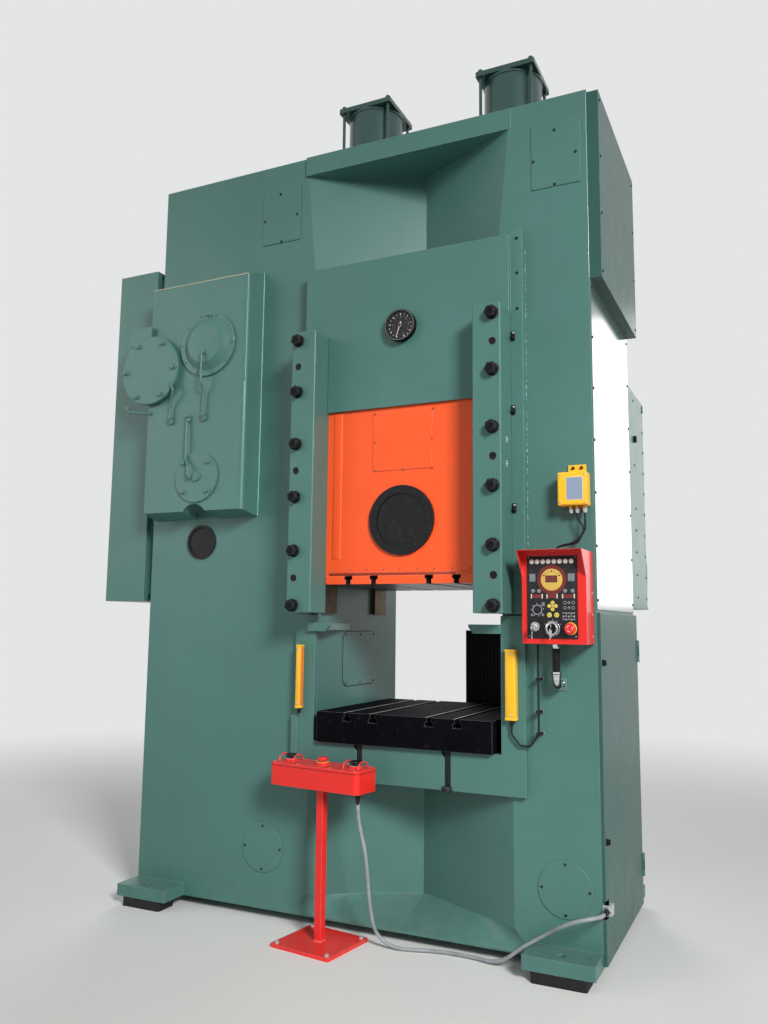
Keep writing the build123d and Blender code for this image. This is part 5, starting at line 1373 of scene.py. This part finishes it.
# Conduit of the control box: nut, collar, ribbed hose, polished elbow and its wall plate
HOSE_X = 1137
HOSE_Y = -575
ELBOW_RADIUS = 30
ELBOW_TOP = 1305
ELBOW_FOOT = ELBOW_TOP - ELBOW_RADIUS
hose = Shape(chrome_metal)
hose.hexagon((HOSE_X, HOSE_Y, 1449), UPWARD, 36, 16, 2.5)
top_collar = [(0, 0), (17, 0), (19.5, 1.5), (19.5, 7), (0, 7)]
hose.lathe((HOSE_X, HOSE_Y, 1443), UPWARD, top_collar, steps=28)
union = [(0, 0), (24, 0), (25, 2), (25, 11), (22, 13), (25, 15), (25, 24), (23, 26), (0, 26)]
hose.lathe((HOSE_X, HOSE_Y, 1313), UPWARD, union, steps=28)
elbow = [(HOSE_X, HOSE_Y, z) for z in (1314, 1306)]
for i in range(9):
    angle = math.pi / 2 * i / 8
    back = ELBOW_RADIUS * (1 - math.cos(angle))
    elbow.append((HOSE_X, HOSE_Y + back, ELBOW_TOP - ELBOW_RADIUS * math.sin(angle)))
elbow += [(HOSE_X, y, ELBOW_FOOT) for y in (-530, -516)]
hose.tube(elbow, 20.6, steps=24)
hose.lathe((HOSE_X, FRONT, ELBOW_FOOT), AHEAD, stud(24, 8, 6, 22.5), steps=28)
hose.use(green_enamel)
hose.slab(
    (HOSE_X - 30, HOSE_X + 30), (FRONT - 3, FRONT), (ELBOW_FOOT - 28, ELBOW_FOOT + 28), ease=1
)
hose.use(black_plastic)
ribs = [(0, 1337), (15.6, 1337)]
for k in range(11):
    height = 1340 + 9.6 * k
    ribs += [(15.0, height), (18.4, height + 1.6), (18.4, height + 5.6), (15.0, height + 7.4)]
ribs += [(15.6, 1446), (0, 1446)]
hose.lathe((HOSE_X, HOSE_Y, 0), UPWARD, ribs, steps=28)
hose.done("box_conduit_hose", stands_for=["box_conduit"])

# Amplifier: lid, blank plate, screws, glands and its cable
LID = 3.2
LID_FACE = side_of("amplifier_box", "front") - LID
amplifier = Shape(yellow_enamel)
amplifier.plate((1225.5, LID_FACE + LID, 2185.5), AHEAD, 130, 150, LID, corner=5, ease=1.2)
amplifier.use(cream_mark)
amplifier.plate((1237, LID_FACE, 2185), AHEAD, 80, 110, 0.6, corner=3, ease=0.3)
amplifier.use(blank_plate)
amplifier.plate((1237, LID_FACE, 2185), AHEAD, 74, 104, 1.0, corner=3, ease=0.4)
amplifier.use(zinc_metal)
lid_screws = [(x, z) for x in (1170, 1284) for z in (2250, 2122)]
amplifier.front_screws(lid_screws, LID_FACE, 4.2, 2.6)
amplifier.use(bronze_metal)
for x in (1215, 1255):
    amplifier.bolt((x, -506, 2294), AHEAD, 13, 7)
amplifier.done("amplifier_lid")

GLAND_Y = -546
CABLE_ROUTE = (
    (1241, -546, 2086), (1241, -547, 2066), (1245, -549, 2046), (1255, -551, 2028),
    (1266, -552, 2012), (1268, -553, 1990), (1258, -554, 1966), (1238, -555, 1944),
    (1208, -556, 1930), (1166, -556, 1922),
)
glands = Shape(brass_metal)
for x in (1211, 1241, 1276):
    glands.use(brass_metal).hexagon((x, GLAND_Y, 2096), UPWARD, 24, 11, 1)
    glands.use(zinc_metal).hexagon((x, GLAND_Y, 2081), UPWARD, 21, 14, 1)
    glands.lathe((x, GLAND_Y, 2072), UPWARD, [(0, 0), (6.5, 0), (9, 3), (9, 10), (0, 10)])
glands.use(black_rubber).tube(CABLE_ROUTE, 4.5, steps=12)
glands.done("amplifier_glands")

# Light curtains: end caps, front strips, windows towards the die space, cable glands and screws
CURTAIN_FACE = side_of("light_curtains", "front") - 1.6
curtains = Shape(yellow_enamel)
for left, right, window, lens in (
    (-259, -233, (-234, -230.6), orange_window),
    (889, 939, (886.6, 890), dark_window),
):
    middle = (left + right) / 2
    curtains.use(yellow_enamel)
    for z in ((1104, 1116), (1422, 1434)):
        curtains.slab((left - 2.5, right + 2.5), (-567.5, -530), z, ease=1.5)
    curtains.slab((left + 5, right - 5), (CURTAIN_FACE, -565), (1120, 1418), ease=0.8)
    curtains.use(lens).slab(window, (-560, -537), (1118, 1420), ease=0.8)
    cap = [(0, 0), (11, 0), (11, 5), (9.5, 7), (9.5, 22), (8.6, 26), (0, 26)]
    curtains.use(black_plastic).lathe((middle, -548, 1104), DOWNWARD, cap)
    curtains.use(zinc_metal)
    curtains.front_screws([(middle, 1128), (middle, 1410)], CURTAIN_FACE, 4.5, 2.4)
curtains.done("light_curtain_trim")

# Clips of the sensor cable
clips = Shape(zinc_metal)
for z in (1050, 1150, 1300):
    clips.slab((1031, 1057), (FRONT - 3, FRONT), (z - 7, z + 7), ease=0.8)
    clips.screw((1051.5, FRONT - 3, z), AHEAD, 4, 2.6)
clips.done("sensor_cable_clips")

# Two-hand stand: sole plate, post with weld beads at both ends, and the trim of its console,
# all turned like the stand itself
STAND = Vector((-24, -678, 0))
STAND_TURN = math.radians(-8)
SOLE = 16
POST_HALF = 19
POST_TOP = 741
CONSOLE_TOP = 850
BUTTON_BASE = side_of("pendant_console", "top")
PALM_BUTTONS = (-200, 200)


def on_stand(across, deep, z):
    """A point given across and along the stand, in the row frame."""
    cos = math.cos(STAND_TURN)
    sin = math.sin(STAND_TURN)
    return (STAND.x + across * cos - deep * sin, STAND.y + across * sin + deep * cos, z)


def post_square(half, z):
    """The corners of a square about the stand's post."""
    return [on_stand(a * half, d * half, z) for a, d in ((-1, -1), (1, -1), (1, 1), (-1, 1))]


stand = Shape(red_enamel)
sole = rounded_outline(350, 330, 8)
stand.rings([[on_stand(across, deep, z) for across, deep in sole] for z in (0, SOLE)])
stand.rings([post_square(POST_HALF, z) for z in (SOLE - 1, POST_TOP)])
for z in (SOLE + 1, POST_TOP - 2.5):
    corners = post_square(POST_HALF + 1, z)
    for start, end in zip(corners, corners[1:] + corners[:1]):
        stand.tube([Vector(start).lerp(Vector(end), i / 6) for i in range(7)], 4.2, steps=8)
stand.use(zinc_metal)
for across in (-150, 150):
    for deep in (-140, 140):
        stand.bolt(on_stand(across, deep, SOLE), UPWARD, 17, 8, turn=STAND_TURN)
stand.done("pendant_stand_post", stands_for=["pendant_stand"])

console = Shape(black_rubber)
seam = [on_stand(across, deep, 836) for across, deep in rounded_outline(546, 179, 30, steps=6)]
console.tube(seam + seam[:1], 1.1, steps=6)
console.use(zinc_metal)
for across in (-245, -100, 100, 245):
    for deep in (-74, 74):
        console.screw(on_stand(across, deep, CONSOLE_TOP), UPWARD, 4.6)
console.use(yellow_enamel)
console.lathe(on_stand(0, 0, BUTTON_BASE), UPWARD, collar(9.6, 33.5, 1.6, 0.9, 32.5), steps=36)
console.use(zinc_metal)
for across in PALM_BUTTONS:
    place = on_stand(across, 0, BUTTON_BASE)
    console.lathe(place, UPWARD, collar(9.6, 32, 1.6, 0.9, 31), steps=36)
console.done("pendant_console_trim")

GUARD_REACH = 44
GUARD_HEIGHT = 34
guards = Shape(red_enamel)
for middle in PALM_BUTTONS:
    for across in (middle - GUARD_REACH, middle + GUARD_REACH):
        arch = []
        for i in range(13):
            angle = math.pi * i / 12
            height = CONSOLE_TOP + GUARD_HEIGHT * math.sin(angle)
            arch.append(on_stand(across, GUARD_REACH * math.cos(angle), height))
        guards.tube(arch, 4.0, steps=10)
guards.done("palm_button_guards")

# Nuts and screws of the conduit's gland on the column
GLAND_X = 1331
GLAND_Z = 297
gland = Shape(chrome_metal)
gland.hexagon((GLAND_X, -494, GLAND_Z), AHEAD, 38, 12, 2)
gland.hexagon((GLAND_X, -508, GLAND_Z), AHEAD, 33, 10, 2)
gland.use(zinc_metal)
for y in (-484, -456):
    gland.screw((side_of("conduit_gland", "right"), y, 296), RIGHTWARD, 4.5)
gland.done("column_gland_nuts")

# Lamps: name, place, where it aims, width and height, power and spread in degrees
LAMPS = (
    ("key lamp", (7.6, -7.4, 6.6), (0.5, -0.5, 1.0), (2.6, 2.6), 166, 60),
    ("left lamp", (-8.5, -7.0, 5.0), (0.0, -0.4, 1.8), (6.0, 6.0), 215, 180),
    ("back lamp", (-4.0, 8.0, 6.0), (0.0, 0.2, 2.4), (4.0, 4.0), 260, 180),
    ("lamp mirrored in the side panel", (2.85, 8.0, 3.9), (1.6, 0.0, 2.6), (1.3, 4.2), 40, 180),
)
FLOOR_HALF = 60
FLOOR_FADE = (3.0, 9.0)


def pale_floor():
    """A plain pale floor that fades into the backdrop away from the press."""
    mesh = bpy.data.meshes.new("floor")
    sheet = bmesh.new()
    corners = ((-1, -1), (1, -1), (1, 1), (-1, 1))
    sheet.faces.new([sheet.verts.new((x * FLOOR_HALF, y * FLOOR_HALF, 0)) for x, y in corners])
    sheet.to_mesh(mesh)
    sheet.free()
    f = Finish("pale floor")
    wash = f.noise(0.8, detail=3)
    pale = f.node(
        "ShaderNodeBsdfPrincipled",
        inputs={
            "Base Color": f.mix(wash, srgb(218, 218, 215), srgb(226, 226, 223)),
            "Roughness": (0.62 + wash * 0.1).clamp(),
            "Specular IOR Level": 0.15,
        },
    )
    away = f.node("ShaderNodeVectorMath", {"operation": "LENGTH"}, {0: f.place()}, out="Value")
    haze = f.node("ShaderNodeEmission", inputs={"Color": BACKDROP, "Strength": 1.0})
    faded = away.step(*FLOOR_FADE) * f.shown()
    mixed = f.node("ShaderNodeMixShader", inputs={0: faded, 1: pale, 2: haze})
    f.node("ShaderNodeOutputMaterial", inputs={"Surface": mixed})
    mesh.materials.append(f.material)
    floor = bpy.data.objects.new("floor", mesh)
    bpy.context.scene.collection.objects.link(floor)


def pale_world():
    """A pale backdrop where it is seen or mirrored, and a weaker light from all around."""
    world = bpy.data.worlds.new("studio")
    world.use_nodes = True
    bpy.context.scene.world = world
    w = Nodes(world.node_tree)
    backdrop = w.node("ShaderNodeBackground", inputs={"Color": BACKDROP, "Strength": 1.0})
    lit = w.node("ShaderNodeBackground", inputs={"Color": srgb(238, 241, 246), "Strength": 0.25})
    mixed = w.node("ShaderNodeMixShader", inputs={0: w.shown(), 1: lit, 2: backdrop})
    w.node("ShaderNodeOutputWorld", inputs={"Surface": mixed})


def soft_lamps():
    """Large soft lamps that the camera doesn't see."""
    for name, place, aim, size, power, spread in LAMPS:
        lamp = bpy.data.lights.new(name, "AREA")
        lamp.shape = "RECTANGLE"
        lamp.size, lamp.size_y = size
        lamp.energy = power
        lamp.spread = math.radians(spread)
        holder = bpy.data.objects.new(name, lamp)
        holder.visible_camera = False
        bpy.context.scene.collection.objects.link(holder)
        aimed = (Vector(aim) - Vector(place)).to_track_quat("-Z", "Y").to_matrix().to_4x4()
        holder.matrix_world = Matrix.Translation(place) @ aimed


pale_floor()
pale_world()
soft_lamps()
bpy.context.scene.view_settings.view_transform = "Standard"
